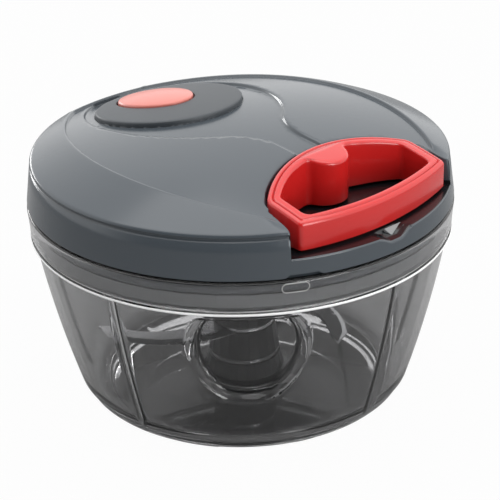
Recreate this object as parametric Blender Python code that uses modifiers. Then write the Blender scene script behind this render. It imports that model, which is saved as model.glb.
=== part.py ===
"""Pull-cord food chopper: clear bowl, domed lid with a cord reel, pull handle and a blade unit.

Metres, +Z up. The bowl stands on Z = 0 with its axis on Z, and the handle is pulled along +X.
"""

import math

import bmesh
import bpy
from mathutils import Vector

MM = 0.001

# Clearances
GAP = 0.3 * MM
RUN_GAP = 0.1 * MM
HANDLE_GAP = 1.2 * MM
BUTTON_GAP = 0.35 * MM

# Bowl
LID_RADIUS = 65.0 * MM
BOWL_HEIGHT = 63.6 * MM
BOWL_WALL = 2.2 * MM
BOWL_FLOOR = 2.1 * MM
BASE_RADIUS = 48.8 * MM
FOOT_HEIGHT = 0.9 * MM
FOOT_WIDTH = 3.2 * MM
FOOT_GAP_ANGLE = 27.0
WALL_STEP = 1.4 * MM
WALL_BULGE = 1.5 * MM
COLLAR_HEIGHT = 9.2 * MM
COLLAR_WALL = 3.2 * MM
RISER_HEIGHT = 3.0 * MM
RISER_WALL = 1.2 * MM
GRIP_AZIMUTH = -40.5
GRIP_SHIFT = -3.0
GRIP_HALF_ANGLE = 17.0
GRIP_DEPTH = 3.6 * MM
GRIP_DROP = 1.8 * MM
GRIP_BOTTOM = 20.4 * MM
RIB_ANGLES = (-138.5, -91.0, -41.5, 41.5, 91.0, 138.5)
RIB_HEIGHT = 1.1 * MM
RIB_HALF_ANGLE = 1.25
BOWL_STEP = 10.5
MARK_AZIMUTH = -31.8
MARK_LENGTH = 8.0 * MM
MARK_HEIGHT = 2.4 * MM
MARK_PROUD = 0.5 * MM
MARK_DROP = 2.9 * MM
NOTCH_AZIMUTH = -29.4
NOTCH_LENGTH = 9.6 * MM
NOTCH_DEPTH = 0.8 * MM
PIN_RADIUS = 1.5 * MM
PIN_LENGTH = 10.5 * MM
PIN_BOSS_RADIUS = 4.8 * MM
PIN_BOSS_HEIGHT = 3.6 * MM

# Lid cover
PARTING_GAP = 0.8 * MM
SKIRT_HEIGHT = 13.0 * MM
SKIRT_TAPER = 1.7 * MM
COVER_WALL = 2.1 * MM
DOME_HEIGHT = 22.9 * MM
DOME_ALONG = 2.615
DOME_ACROSS = 1.77
SHOULDER_STEP = 0.7 * MM
SHOULDER_ARC = 77.5 * MM
SHOULDER_ARC_OFFSET = 30.0 * MM
SHOULDER_ARC_FORWARD = 3.4 * MM
RIM_WIDTH = 1.5 * MM
VALLEY_DEPTH = 0.9 * MM
VALLEY_ARC = 41.3 * MM
VALLEY_ARC_BACK = -25.0 * MM
VALLEY_ARC_DROP = 14.0 * MM
NECK_HALF_WIDTH = 5.3 * MM
NECK_PLACE = 22.5 * MM
PLATFORM_BACK = -31.0 * MM
PLATFORM_LENGTH = 24.2 * MM
PLATFORM_WIDTH = 23.1 * MM
PLATFORM_RISE = 0.7 * MM

# Button and vent valve
BUTTON_BACK = -37.3 * MM
BUTTON_LENGTH = 13.2 * MM
BUTTON_WIDTH = 10.4 * MM
BUTTON_PROUD = 0.3 * MM
BUTTON_CROWN = 0.9 * MM
BUTTON_SKIRT_WALL = 1.4 * MM
BUTTON_FLANGE = 1.0 * MM
BUTTON_TRAVEL = 2.0 * MM
STEM_RADIUS = 1.8 * MM
VALVE_RADIUS = 4.6 * MM
VALVE_THICKNESS = 1.2 * MM
BUTTON_SPRING_RADIUS = 3.4 * MM
BUTTON_SPRING_WIRE = 0.35 * MM
BUTTON_SPRING_TURNS = 5
BUTTON_SPRING_RISE = 1.6 * MM

# Handle and its recess
HANDLE_BACK = 29.5 * MM
HANDLE_FRONT = 59.6 * MM
HANDLE_HALF_WIDTH = 30.4 * MM
HANDLE_BACK_ARC = 46.0 * MM
HANDLE_FRONT_ARC = 80.0 * MM
HANDLE_CORNER = 4.0 * MM
HANDLE_FRONT_CORNER = 2.6 * MM
HANDLE_RIM = 3.4 * MM
HANDLE_PROUD = 1.0 * MM
HANDLE_CHAMFER = 0.9 * MM
POINTER_THICKNESS = 1.6 * MM
BOSS_RADIUS = 7.3 * MM
BOSS_NOSE = 39.8 * MM
RECESS_RISE = 4.8 * MM
RECESS_WALL = 2.2 * MM
RECESS_SIDE_GAP = 2.6 * MM
HANDLE_FLOOR_GAP = 0.7 * MM
SCOOP_PLACE = -2.2 * MM
SCOOP_HALF_WIDTH = 6.4 * MM
SCOOP_DEPTH = 2.0 * MM
POINTER_HALF_WIDTH = 2.6 * MM
KNOT_RADIUS = 2.2 * MM
KNOT_POCKET_RADIUS = 3.2 * MM

# Lid base and seal
PLUG_GAP = 0.6 * MM
PLUG_WALL = 2.0 * MM
PLUG_DEPTH = 9.4 * MM
BASE_FLOOR_THICKNESS = 2.0 * MM
PLUG_BELOW_RISER = 0.1 * MM
SEAL_HEIGHT = 2.4 * MM
SEAL_SQUEEZE_GAP = 0.35 * MM
SEAL_DEPTH = 1.2 * MM
SHAFT_BOSS_RADIUS = 9.0 * MM
SHAFT_BOSS_DROP = 2.4 * MM
POST_RADIUS = 3.4 * MM
POST_INSET = 11.2 * MM
POST_ANGLES = (70.0, 140.0, 220.0, 290.0)
SCREW_RADIUS = 1.3 * MM
SCREW_HEAD_RADIUS = 2.5 * MM
SCREW_HEAD_HEIGHT = 1.3 * MM
SCREW_SINK = 1.0 * MM
PILLAR_RADIUS = 3.2 * MM

# Cord, reel and return spring
CORD_DIAMETER = 1.6 * MM
CORD_RISE = 6.4 * MM
CORD_SIDE_GAP = 0.2 * MM
WOUND_START = 13.1 * MM
WOUND_PITCH = 2.05 * MM
WOUND_TURNS = 4.05
LEAVE_ANGLE = -32.0
DRUM_RADIUS = 12.0 * MM
REEL_FLANGE = 22.6 * MM
REEL_FLANGE_THICKNESS = 1.2 * MM
ARBOR_RADIUS = 6.0 * MM
AXLE_RADIUS = 1.5 * MM
CASE_RADIUS = 25.3 * MM
CASE_WALL = 1.2 * MM
CASE_STAND = 5.8 * MM
CASE_EAR_REACH = 3.3 * MM
CASE_EAR_ANGLES = (90.0, 210.0, 330.0)
CASE_EAR_RADIUS = 4.0 * MM
CASE_EAR_THICKNESS = 1.8 * MM
SPIRAL_TURNS = 5
SPIRAL_STRIP = 0.5 * MM
SPIRAL_HEIGHT = 6.0 * MM
EYELET_RADIUS = 2.6 * MM
EYELET_BORE = 1.2 * MM
RATCHET_TEETH = 10
RATCHET_RADIUS = 8.8 * MM
RATCHET_TOOTH = 2.0 * MM
RATCHET_THICKNESS = 3.2 * MM
STUB_RADIUS = 4.0 * MM
DRIVE_DISC_RADIUS = 13.0 * MM
DRIVE_DISC_THICKNESS = 0.9 * MM
PAWL_COUNT = 3
SHAFT_RADIUS = 4.6 * MM
BUSH_WALL = 0.9 * MM
HEX_FLATS = 7.0 * MM
HEX_LENGTH = 5.8 * MM
CLIP_THICKNESS = 0.8 * MM
CLIP_DEPTH = 0.9 * MM

# Blade unit
SLEEVE_WALL = 0.8 * MM
HUB_RADIUS = 8.4 * MM
HUB_CORE_RADIUS = 3.9 * MM
HUB_HEAD_RADIUS = 9.8 * MM
HUB_NECK = 3.9 * MM
HUB_NECK_SLOPE = 3.0 * MM
HUB_FOOT_RADIUS = 11.4 * MM
HUB_SKIRT_RADIUS = 12.6 * MM
HUB_SKIRT_INNER = 6.6 * MM
HUB_FLOOR_GAP = 0.7 * MM
HUB_FOOT_HEIGHT = 1.6 * MM
BLADE_THICKNESS = 1.0 * MM
BLADE_PITCH = 10.5 * MM
BLADE_ROOT = 5.6 * MM
BLADE_REACH = 46.0 * MM
BLADE_WIDTH = 11.0 * MM
BLADE_COUNT = 3
BLADE_FIRST_AZIMUTH = 150.0

# Heights and radii that follow from the sizes above
SKIRT_TOP_RADIUS = LID_RADIUS - SKIRT_TAPER
WALL_TOP_RADIUS = LID_RADIUS - WALL_STEP
COLLAR_INNER_RADIUS = LID_RADIUS - COLLAR_WALL
PLUG_RADIUS = COLLAR_INNER_RADIUS - PLUG_GAP
POST_PLACE = PLUG_RADIUS - POST_INSET
COLLAR_LOW = BOWL_HEIGHT - COLLAR_HEIGHT
GRIP_TOP = COLLAR_LOW - GRIP_DROP
PARTING = BOWL_HEIGHT + PARTING_GAP
PARTING_MID = BOWL_HEIGHT + PARTING_GAP / 2
SKIRT_TOP = PARTING + SKIRT_HEIGHT
DOME_TOP = PARTING_MID + DOME_HEIGHT
PLUG_BOTTOM = PARTING_MID - PLUG_DEPTH
PLUG_TOP = BOWL_HEIGHT + RISER_HEIGHT - PLUG_BELOW_RISER
BASE_FLOOR_TOP = PLUG_BOTTOM + BASE_FLOOR_THICKNESS
CASE_BOTTOM = BASE_FLOOR_TOP + CASE_STAND
CASE_EAR_PLACE = CASE_RADIUS + CASE_EAR_REACH
RECESS_FLOOR = PARTING + RECESS_RISE
CORD_HEIGHT = RECESS_FLOOR + CORD_RISE
# The wound cord lies beside the stretch that leaves it, so that the reel turns below that stretch.
CORD_SIDE = CORD_DIAMETER / 2 + CORD_SIDE_GAP
REEL_SLOT = 4.0 * CORD_SIDE
BOWL_INSIDE = FOOT_HEIGHT + BOWL_FLOOR
PIN_BOSS_TOP = BOWL_INSIDE + PIN_BOSS_HEIGHT
PIN_LOW = BOWL_INSIDE - 0.5 * MM
PIN_TOP = PIN_LOW + PIN_LENGTH + 2.5 * MM
HANDLE_BOTTOM = RECESS_FLOOR + HANDLE_FLOOR_GAP
ORIGIN = Vector((0.0, 0.0, 0.0))

for old in list(bpy.data.objects):
    bpy.data.objects.remove(old, do_unlink=True)

parts = bpy.data.collections.new("food_chopper")
bpy.context.scene.collection.children.link(parts)
cutters = bpy.data.collections.new("cutters")
cutters.hide_render = True
bpy.context.scene.collection.children.link(cutters)


# Materials
def make_material(name, colour, roughness, metallic=0.0, alpha=1.0):
    material = bpy.data.materials.new(name)
    material.use_nodes = True
    shader = material.node_tree.nodes["Principled BSDF"]
    shader.inputs["Base Color"].default_value = (*colour, 1.0)
    shader.inputs["Roughness"].default_value = roughness
    shader.inputs["Metallic"].default_value = metallic
    shader.inputs["Alpha"].default_value = alpha
    return material


SLATE = make_material("slate_plastic", (0.105, 0.125, 0.14), 0.32)
RED = make_material("red_plastic", (0.62, 0.035, 0.03), 0.28)
CORAL = make_material("coral_plastic", (0.78, 0.22, 0.17), 0.35)
CLEAR = make_material("smoky_clear_plastic", (0.42, 0.42, 0.42), 0.05, 0.0, 0.35)
BLACK = make_material("black_plastic", (0.02, 0.02, 0.022), 0.35)
STEEL = make_material("stainless_steel", (0.62, 0.62, 0.63), 0.22, 1.0)
SPRING_STEEL = make_material("spring_steel", (0.38, 0.38, 0.4), 0.3, 1.0)
BRASS = make_material("brass", (0.68, 0.5, 0.22), 0.3, 1.0)
SILICONE = make_material("grey_silicone", (0.2, 0.21, 0.22), 0.7)
CORD = make_material("white_cord", (0.75, 0.74, 0.7), 0.8)
ACETAL = make_material("white_acetal", (0.72, 0.72, 0.69), 0.4)
POINTER = make_material("light_grey_plastic", (0.42, 0.43, 0.43), 0.4)


# Making and joining meshes
def place(obj, material, collection=parts, smooth=True):
    collection.objects.link(obj)
    if material:
        obj.data.materials.append(material)
    if smooth and obj.type == "MESH":
        for face in obj.data.polygons:
            face.use_smooth = True
    if collection == cutters:
        obj.hide_render = True
        obj.display_type = "WIRE"
    return obj


def mesh_object(name, builder, material=None, collection=parts, smooth=True):
    mesh = bpy.data.meshes.new(name)
    builder.normal_update()
    builder.to_mesh(mesh)
    builder.free()
    return place(bpy.data.objects.new(name, mesh), material, collection, smooth)


def turned(name, profile, material, segments=48, collection=parts, closed=True):
    """A turned solid. The profile is (radius, height) and runs down its outer side."""
    mesh = bpy.data.meshes.new(name)
    points = [(radius, 0.0, height) for radius, height in profile]
    edges = [(i, i + 1) for i in range(len(points) - 1)]
    if closed:
        edges.append((len(points) - 1, 0))
    mesh.from_pydata(points, edges, [])
    obj = place(bpy.data.objects.new(name, mesh), material, collection, False)
    screw = obj.modifiers.new("turn", "SCREW")
    screw.steps = segments
    screw.render_steps = segments
    screw.use_merge_vertices = True
    screw.merge_threshold = 0.00001
    screw.use_smooth_shade = True
    return obj


def loft(name, rings, material, collection=parts, ends="cap", smooth=True):
    """Rings of equal count, joined one after another; ends are capped, or joined to each other."""
    builder = bmesh.new()
    rows = [[builder.verts.new(point) for point in ring] for ring in rings]
    pairs = list(zip(rows[:-1], rows[1:]))
    if ends == "join":
        pairs.append((rows[-1], rows[0]))
    for low, high in pairs:
        for i in range(len(low)):
            j = (i + 1) % len(low)
            builder.faces.new((low[i], low[j], high[j], high[i]))
    if ends == "cap":
        builder.faces.new(list(reversed(rows[0])))
        builder.faces.new(rows[-1])
    bmesh.ops.recalc_face_normals(builder, faces=builder.faces)
    return mesh_object(name, builder, material, collection, smooth)


def cylinder(name, radius, low, high, centre=(0.0, 0.0), material=None, collection=cutters, segments=24):
    builder = bmesh.new()
    bmesh.ops.create_cone(
        builder, cap_ends=True, segments=segments, radius1=radius, radius2=radius, depth=high - low
    )
    bmesh.ops.translate(builder, verts=builder.verts, vec=(centre[0], centre[1], (low + high) / 2))
    return mesh_object(name, builder, material, collection)


def lying_cylinder(name, radius, start, end, height, material=None, collection=cutters, segments=24):
    """A cylinder along X at Y = 0."""
    builder = bmesh.new()
    bmesh.ops.create_cone(
        builder, cap_ends=True, segments=segments, radius1=radius, radius2=radius, depth=end - start
    )
    turn = Vector((0.0, 0.0, 1.0)).rotation_difference(Vector((1.0, 0.0, 0.0))).to_matrix()
    bmesh.ops.rotate(builder, verts=builder.verts, cent=ORIGIN, matrix=turn)
    bmesh.ops.translate(builder, verts=builder.verts, vec=((start + end) / 2, 0.0, height))
    return mesh_object(name, builder, material, collection)


def boolean(obj, other, operation):
    modifier = obj.modifiers.new(operation.lower(), "BOOLEAN")
    modifier.operation = operation
    modifier.solver = "EXACT"
    modifier.object = other
    return modifier


def boolean_all(obj, others, operation):
    """One Boolean with several pieces, which are kept in a collection of their own."""
    group = bpy.data.collections.new(f"{obj.name}_{operation.lower()}")
    group.hide_render = True
    cutters.children.link(group)
    for other in others:
        cutters.objects.unlink(other)
        group.objects.link(other)
    modifier = obj.modifiers.new(operation.lower(), "BOOLEAN")
    modifier.operation = operation
    modifier.solver = "EXACT"
    modifier.operand_type = "COLLECTION"
    modifier.collection = group


def polar(radius, degrees, height=0.0):
    angle = math.radians(degrees)
    return Vector((radius * math.cos(angle), radius * math.sin(angle), height))


def smooth_step(low, high, value):
    t = min(1.0, max(0.0, (value - low) / (high - low)))
    return t * t * (3.0 - 2.0 * t)


def angle_apart(first, second):
    return (first - second + 180.0) % 360.0 - 180.0


# Bowl
def bowl_azimuths():
    """Directions round the bowl: those where a shape begins or ends, then even steps in between."""
    wanted = set()
    for rib in RIB_ANGLES:
        for offset in (-RIB_HALF_ANGLE, 0.0, RIB_HALF_ANGLE):
            wanted.add(round((GRIP_AZIMUTH + rib + offset) % 360.0, 3))
    edge = FOOT_GAP_ANGLE / 2
    for grip in (0.0, 180.0):
        wanted.add(round((GRIP_AZIMUTH + grip) % 360.0, 3))
        for offset in (edge - 1.2, edge + 1.2):
            wanted.add(round((GRIP_AZIMUTH + grip + offset) % 360.0, 3))
            wanted.add(round((GRIP_AZIMUTH + grip - offset) % 360.0, 3))
        middle = GRIP_AZIMUTH + GRIP_SHIFT + grip
        for offset in (0.0, 4.0, 7.5, 0.6 * GRIP_HALF_ANGLE, GRIP_HALF_ANGLE - 3.4, GRIP_HALF_ANGLE):
            wanted.add(round((middle + offset) % 360.0, 3))
            wanted.add(round((middle - offset) % 360.0, 3))
    ordered = sorted(wanted)
    angles = []
    for low, high in zip(ordered, ordered[1:] + [ordered[0] + 360.0]):
        steps = math.ceil((high - low) / BOWL_STEP)
        angles += [low + (high - low) * step / steps for step in range(steps)]
    return angles


def wall_radius(height):
    """The outer radius of the bowl's wall: a cone from base to collar with a slight belly."""
    share = (height - FOOT_HEIGHT) / (COLLAR_LOW - FOOT_HEIGHT)
    low = BASE_RADIUS + 2.0 * MM
    return low + (WALL_TOP_RADIUS - low) * share + WALL_BULGE * 4.0 * share * (1.0 - share)


def grip_half_angle(height):
    """Half the grip's width in degrees: widest above its middle, and narrower to both ends."""
    widest = GRIP_BOTTOM + 0.62 * (GRIP_TOP - GRIP_BOTTOM)
    if height > widest:
        rise = (height - widest) / (GRIP_TOP - widest)
        return GRIP_HALF_ANGLE * (1.0 - 0.36 * min(1.0, rise) ** 2.2)
    fall = (widest - height) / (widest - GRIP_BOTTOM)
    return GRIP_HALF_ANGLE * (1.0 - 0.62 * min(1.0, fall) ** 2)


def grip_depth(azimuth, height):
    """How far a finger grip is sunk into the wall at this place."""
    middle = GRIP_AZIMUTH + GRIP_SHIFT
    apart = min(abs(angle_apart(azimuth, middle)), abs(angle_apart(azimuth, middle + 180.0)))
    half = grip_half_angle(height)
    across = 1.0 - smooth_step(half - 3.6, half + 0.2, apart)
    top = 1.0 - smooth_step(GRIP_TOP - 1.6 * MM, GRIP_TOP, height)
    floor = GRIP_BOTTOM + 3.0 * MM * (apart / 11.0) ** 2
    bottom = smooth_step(floor, floor + 5.0 * MM, height)
    return GRIP_DEPTH * across * top * bottom


def rib_height(azimuth):
    apart = min(abs(angle_apart(azimuth, GRIP_AZIMUTH + rib)) for rib in RIB_ANGLES)
    if apart >= RIB_HALF_ANGLE:
        return 0.0
    return RIB_HEIGHT * math.sqrt(1.0 - (apart / RIB_HALF_ANGLE) ** 2)


def foot_height(azimuth):
    apart = min(abs(angle_apart(azimuth, GRIP_AZIMUTH)), abs(angle_apart(azimuth, GRIP_AZIMUTH + 180.0)))
    edge = FOOT_GAP_ANGLE / 2
    return FOOT_HEIGHT * (1.0 - smooth_step(edge - 1.2, edge + 1.2, apart))


def wall_heights():
    """Heights of the wall's rows: close where the grips begin and end, and even in between."""
    low = GRIP_BOTTOM + 6.0 * MM
    high = GRIP_TOP - 1.6 * MM
    below = BOWL_INSIDE + 2.0 * MM
    heights = [below + (GRIP_BOTTOM - below) * 0.3, GRIP_BOTTOM, GRIP_BOTTOM + 2.5 * MM, low]
    heights += [low + (high - low) * 0.37, low + (high - low) * 0.74]
    return heights + [high, GRIP_TOP - 0.8 * MM, GRIP_TOP]


def bowl_rows():
    """(radius, height, kind) up the outside, over the rim and down the inside."""
    corner = wall_radius(BOWL_INSIDE + 2.0 * MM)
    wall = wall_heights()
    rows = [
        (BASE_RADIUS - 2.4 * MM - FOOT_WIDTH, FOOT_HEIGHT, "plain"),
        (BASE_RADIUS - 2.0 * MM - FOOT_WIDTH, 0.0, "foot"),
        (BASE_RADIUS - 2.0 * MM, 0.0, "foot"),
        (BASE_RADIUS - 0.2 * MM, 1.5 * MM, "plain"),
        (BASE_RADIUS + 1.2 * MM, 2.8 * MM, "plain"),
        (corner, BOWL_INSIDE + 2.0 * MM, "plain"),
    ]
    rows += [(wall_radius(height), height, "wall") for height in wall]
    rows += [
        (WALL_TOP_RADIUS + 0.1 * MM, COLLAR_LOW - 1.3 * MM, "plain"),
        (LID_RADIUS - 0.5 * MM, COLLAR_LOW - 0.6 * MM, "plain"),
        (LID_RADIUS - 0.1 * MM, COLLAR_LOW + 1.4 * MM, "plain"),
        (LID_RADIUS + 0.1 * MM, BOWL_HEIGHT - 0.5 * MM, "plain"),
        (LID_RADIUS - 0.3 * MM, BOWL_HEIGHT, "plain"),
        (COLLAR_INNER_RADIUS + RISER_WALL, BOWL_HEIGHT, "plain"),
        (COLLAR_INNER_RADIUS + RISER_WALL, BOWL_HEIGHT + RISER_HEIGHT, "plain"),
        (COLLAR_INNER_RADIUS, BOWL_HEIGHT + RISER_HEIGHT, "plain"),
        (COLLAR_INNER_RADIUS, COLLAR_LOW - 0.2 * MM, "plain"),
    ]
    # The inside leaves out the two rows that only sharpen the grips' outer edges.
    inside = [height for index, height in enumerate(wall) if index not in (2, 7)]
    rows += [(wall_radius(height) - BOWL_WALL, height, "inner") for height in reversed(inside)]
    rows += [
        (BASE_RADIUS - 0.6 * MM, BOWL_INSIDE + 1.6 * MM, "inner"),
        (BASE_RADIUS - 3.6 * MM, BOWL_INSIDE, "plain"),
    ]
    return rows


def bowl_ring(row, azimuths):
    radius, height, kind = row
    ring = []
    for azimuth in azimuths:
        reach = radius
        level = height
        if kind in ("wall", "inner"):
            reach -= grip_depth(azimuth, height)
        if kind == "inner":
            reach -= rib_height(azimuth)
        if kind == "foot":
            level = foot_height(azimuth)
        ring.append(polar(reach, azimuth, level))
    return ring


def make_bowl():
    azimuths = bowl_azimuths()
    rings = [bowl_ring(row, azimuths) for row in bowl_rows()]
    bowl = loft("bowl", rings, CLEAR)
    boss = turned(
        "pin_boss",
        [
            (0.0, PIN_BOSS_TOP),
            (PIN_BOSS_RADIUS - 0.3 * MM, PIN_BOSS_TOP),
            (PIN_BOSS_RADIUS, BOWL_INSIDE + 0.7 * MM),
            (PIN_BOSS_RADIUS + 0.8 * MM, BOWL_INSIDE - 0.4 * MM),
            (0.0, BOWL_INSIDE - 0.4 * MM),
        ],
        None,
        20,
        cutters,
        closed=False,
    )
    boolean(bowl, boss, "UNION")
    boolean(bowl, make_mark(), "UNION")
    hole = cylinder("pin_hole", PIN_RADIUS + RUN_GAP, PIN_LOW - RUN_GAP, PIN_BOSS_TOP + MM, segments=16)
    boolean(bowl, hole, "DIFFERENCE")
    return bowl


def radial_block(name, azimuth, section, inner, outer):
    """A block that points outwards; its section is (across, height)."""
    turn = math.radians(azimuth)
    rings = []
    for reach in (inner, outer):
        ring = []
        for across, height in section:
            x = reach * math.cos(turn) - across * math.sin(turn)
            y = reach * math.sin(turn) + across * math.cos(turn)
            ring.append(Vector((x, y, height)))
        rings.append(ring)
    return loft(name, rings, None, cutters, smooth=False)


def make_mark():
    """The raised obround on the bowl's collar that shows where the lid locks."""
    radius = MARK_HEIGHT / 2
    middle = BOWL_HEIGHT - MARK_DROP
    straight = MARK_LENGTH / 2 - radius
    section = []
    for side in (1.0, -1.0):
        for step in range(5):
            angle = math.radians(-90.0 + 45.0 * step)
            across = straight + radius * math.cos(angle)
            section.append((side * across, middle + side * radius * math.sin(angle)))
    return radial_block("lock_mark", MARK_AZIMUTH, section, LID_RADIUS - 1.5 * MM, LID_RADIUS + MARK_PROUD)


# Lid surface
def dome(x, y):
    """The height of the lid's top without its steps."""
    return DOME_TOP - DOME_ALONG * x * x - DOME_ACROSS * y * y


def shoulder_radius(degrees):
    """The inner edge of the sloping shoulder, as a distance from the lid's axis."""
    angle = math.radians(degrees)
    across = abs(math.sin(angle))
    along = math.cos(angle)
    b = across * SHOULDER_ARC_OFFSET - along * SHOULDER_ARC_FORWARD
    c = SHOULDER_ARC_OFFSET**2 + SHOULDER_ARC_FORWARD**2 - SHOULDER_ARC**2
    reach = -b + math.sqrt(b * b - c)
    return min(reach, SKIRT_TOP_RADIUS - RIM_WIDTH)


def shoulder_height(x, y):
    """The sloping shoulder between the skirt's top edge and the raised inner edge."""
    degrees = math.degrees(math.atan2(y, x))
    edge = shoulder_radius(degrees)
    inner = polar(edge, degrees)
    top = dome(inner.x, inner.y) + SHOULDER_STEP
    share = (SKIRT_TOP_RADIUS - math.hypot(x, y)) / (SKIRT_TOP_RADIUS - edge)
    return SKIRT_TOP + (top - SKIRT_TOP) * min(1.0, max(0.0, share))


def ray_to_circle(angle, radius):
    """From the platform's centre: the distance to a circle round the lid's axis."""
    b = PLATFORM_BACK * math.cos(angle)
    return -b + math.sqrt(b * b - PLATFORM_BACK**2 + radius * radius)


def ray_to_shoulder(angle):
    """From the platform's centre: the distance to the shoulder's inner edge, by bisection."""
    low = 0.0
    high = ray_to_circle(angle, SKIRT_TOP_RADIUS)
    for _ in range(40):
        middle = (low + high) / 2
        x = PLATFORM_BACK + middle * math.cos(angle)
        y = middle * math.sin(angle)
        if math.hypot(x, y) < shoulder_radius(math.degrees(math.atan2(y, x))):
            low = middle
        else:
            high = middle
    return low


def valley_half_width(x):
    """Half the width of the sunk valley: a round end round the platform, then a neck to the handle."""
    reach = VALLEY_ARC_DROP - NECK_HALF_WIDTH
    run = NECK_PLACE - VALLEY_ARC_BACK
    # The two arcs touch: their centres lie one radius plus the other apart.
    neck_arc = (run**2 + (VALLEY_ARC_DROP + NECK_HALF_WIDTH) ** 2 - VALLEY_ARC**2) / (
        2.0 * (VALLEY_ARC - VALLEY_ARC_DROP - NECK_HALF_WIDTH)
    )
    meet = VALLEY_ARC_BACK + run * VALLEY_ARC / (VALLEY_ARC + neck_arc)
    if x <= meet:
        return math.sqrt(max(0.0, VALLEY_ARC**2 - (x - VALLEY_ARC_BACK) ** 2)) - VALLEY_ARC_DROP
    if x <= NECK_PLACE:
        return NECK_HALF_WIDTH + neck_arc - math.sqrt(neck_arc**2 - (x - NECK_PLACE) ** 2)
    return NECK_HALF_WIDTH * (x - PLATFORM_BACK) / (NECK_PLACE - PLATFORM_BACK)


VALLEY_END = HANDLE_BACK + 1.5 * MM


def ray_to_valley(angle):
    """From the platform's centre: the distance to the valley's edge, by bisection."""
    low = 0.0
    high = ray_to_shoulder(angle) - 0.8 * MM
    for _ in range(40):
        middle = (low + high) / 2
        x = PLATFORM_BACK + middle * math.cos(angle)
        y = abs(middle * math.sin(angle))
        if x < VALLEY_END and y < valley_half_width(x):
            low = middle
        else:
            high = middle
    return low


def ray_to_oval(angle, length, width, shift=0.0):
    """From the platform's centre: the distance to an oval whose centre lies shift along X."""
    c = math.cos(angle) / length
    s = math.sin(angle) / width
    k = shift / length
    b = c * k
    return (b + math.sqrt(b * b - (c * c + s * s) * (k * k - 1.0))) / (c * c + s * s)


def lid_angles():
    """Directions from the platform's centre, even on the lid's rim and closer at the valley's neck."""
    angles = set()
    for step in range(48):
        rim = math.radians(step * 360.0 / 48)
        x = SKIRT_TOP_RADIUS * math.cos(rim) - PLATFORM_BACK
        y = SKIRT_TOP_RADIUS * math.sin(rim)
        angles.add(round(math.degrees(math.atan2(y, x)) % 360.0, 3))
    for extra in (5.2, 6.6, 8.4, 11.5, 15.0, 172.0, 176.0):
        angles.add(extra)
        angles.add(360.0 - extra)
    kept = []
    for angle in sorted(angles):
        if not kept or angle - kept[-1] > 0.9:
            kept.append(angle)
    return [math.radians(angle) for angle in kept]


def lid_ring(angles, distances, height):
    ring = []
    for angle, distance in zip(angles, distances):
        x = PLATFORM_BACK + distance * math.cos(angle)
        y = distance * math.sin(angle)
        ring.append(Vector((x, y, height(x, y) if callable(height) else height)))
    return ring


def between(first, second, share):
    return [a + (b - a) * share for a, b in zip(first, second)]


def inset(distances, amount):
    return [distance - amount for distance in distances]


def top_rings(angles):
    """The lid's top from the skirt's edge in to the button's hole, with each step's two edges."""
    skirt = [ray_to_circle(a, SKIRT_TOP_RADIUS) for a in angles]
    shoulder = [ray_to_shoulder(a) for a in angles]
    valley = [ray_to_valley(a) for a in angles]
    platform = [ray_to_oval(a, PLATFORM_LENGTH, PLATFORM_WIDTH) for a in angles]
    shift = BUTTON_BACK - PLATFORM_BACK
    hole = [ray_to_oval(a, BUTTON_LENGTH + BUTTON_GAP, BUTTON_WIDTH + BUTTON_GAP, shift) for a in angles]
    rings = [lid_ring(angles, skirt, SKIRT_TOP)]
    rings.append(lid_ring(angles, between(skirt, shoulder, 0.5), shoulder_height))
    rings.append(lid_ring(angles, shoulder, lambda x, y: dome(x, y) + SHOULDER_STEP))
    inner = inset(shoulder, 0.4 * MM)
    rings.append(lid_ring(angles, inner, dome))
    rings.append(lid_ring(angles, between(inner, valley, 0.5), dome))
    rings.append(lid_ring(angles, valley, dome))
    floor = between(valley, platform, 0.12)
    rings.append(lid_ring(angles, floor, lambda x, y: dome(x, y) - VALLEY_DEPTH))
    rings.append(lid_ring(angles, between(valley, platform, 0.55), lambda x, y: dome(x, y) - VALLEY_DEPTH))
    rings.append(lid_ring(angles, platform, lambda x, y: dome(x, y) - VALLEY_DEPTH))
    rings.append(
        lid_ring(angles, inset(platform, 0.2 * MM), lambda x, y: dome(x, y) + PLATFORM_RISE - 0.5 * MM)
    )
    rings.append(lid_ring(angles, inset(platform, 0.8 * MM), lambda x, y: dome(x, y) + PLATFORM_RISE))
    rings.append(lid_ring(angles, between(platform, hole, 0.55), lambda x, y: dome(x, y) + PLATFORM_RISE))
    rings.append(lid_ring(angles, hole, lambda x, y: dome(x, y) + PLATFORM_RISE))
    return rings


def under_height(x, y):
    """The underside of the lid's top, one smooth face."""
    reach = math.hypot(x, y)
    centre = dome(x, y) - VALLEY_DEPTH - COVER_WALL
    edge = SKIRT_TOP + 0.28 * (SKIRT_TOP_RADIUS - reach) - COVER_WALL - 0.3 * MM
    return min(centre, edge)


INSIDE_RADIUS = PLUG_RADIUS + GAP
SKIRT_INSIDE_RADIUS = COLLAR_INNER_RADIUS + RISER_WALL + GAP
COVER_STEP = BOWL_HEIGHT + RISER_HEIGHT + GAP


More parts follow.
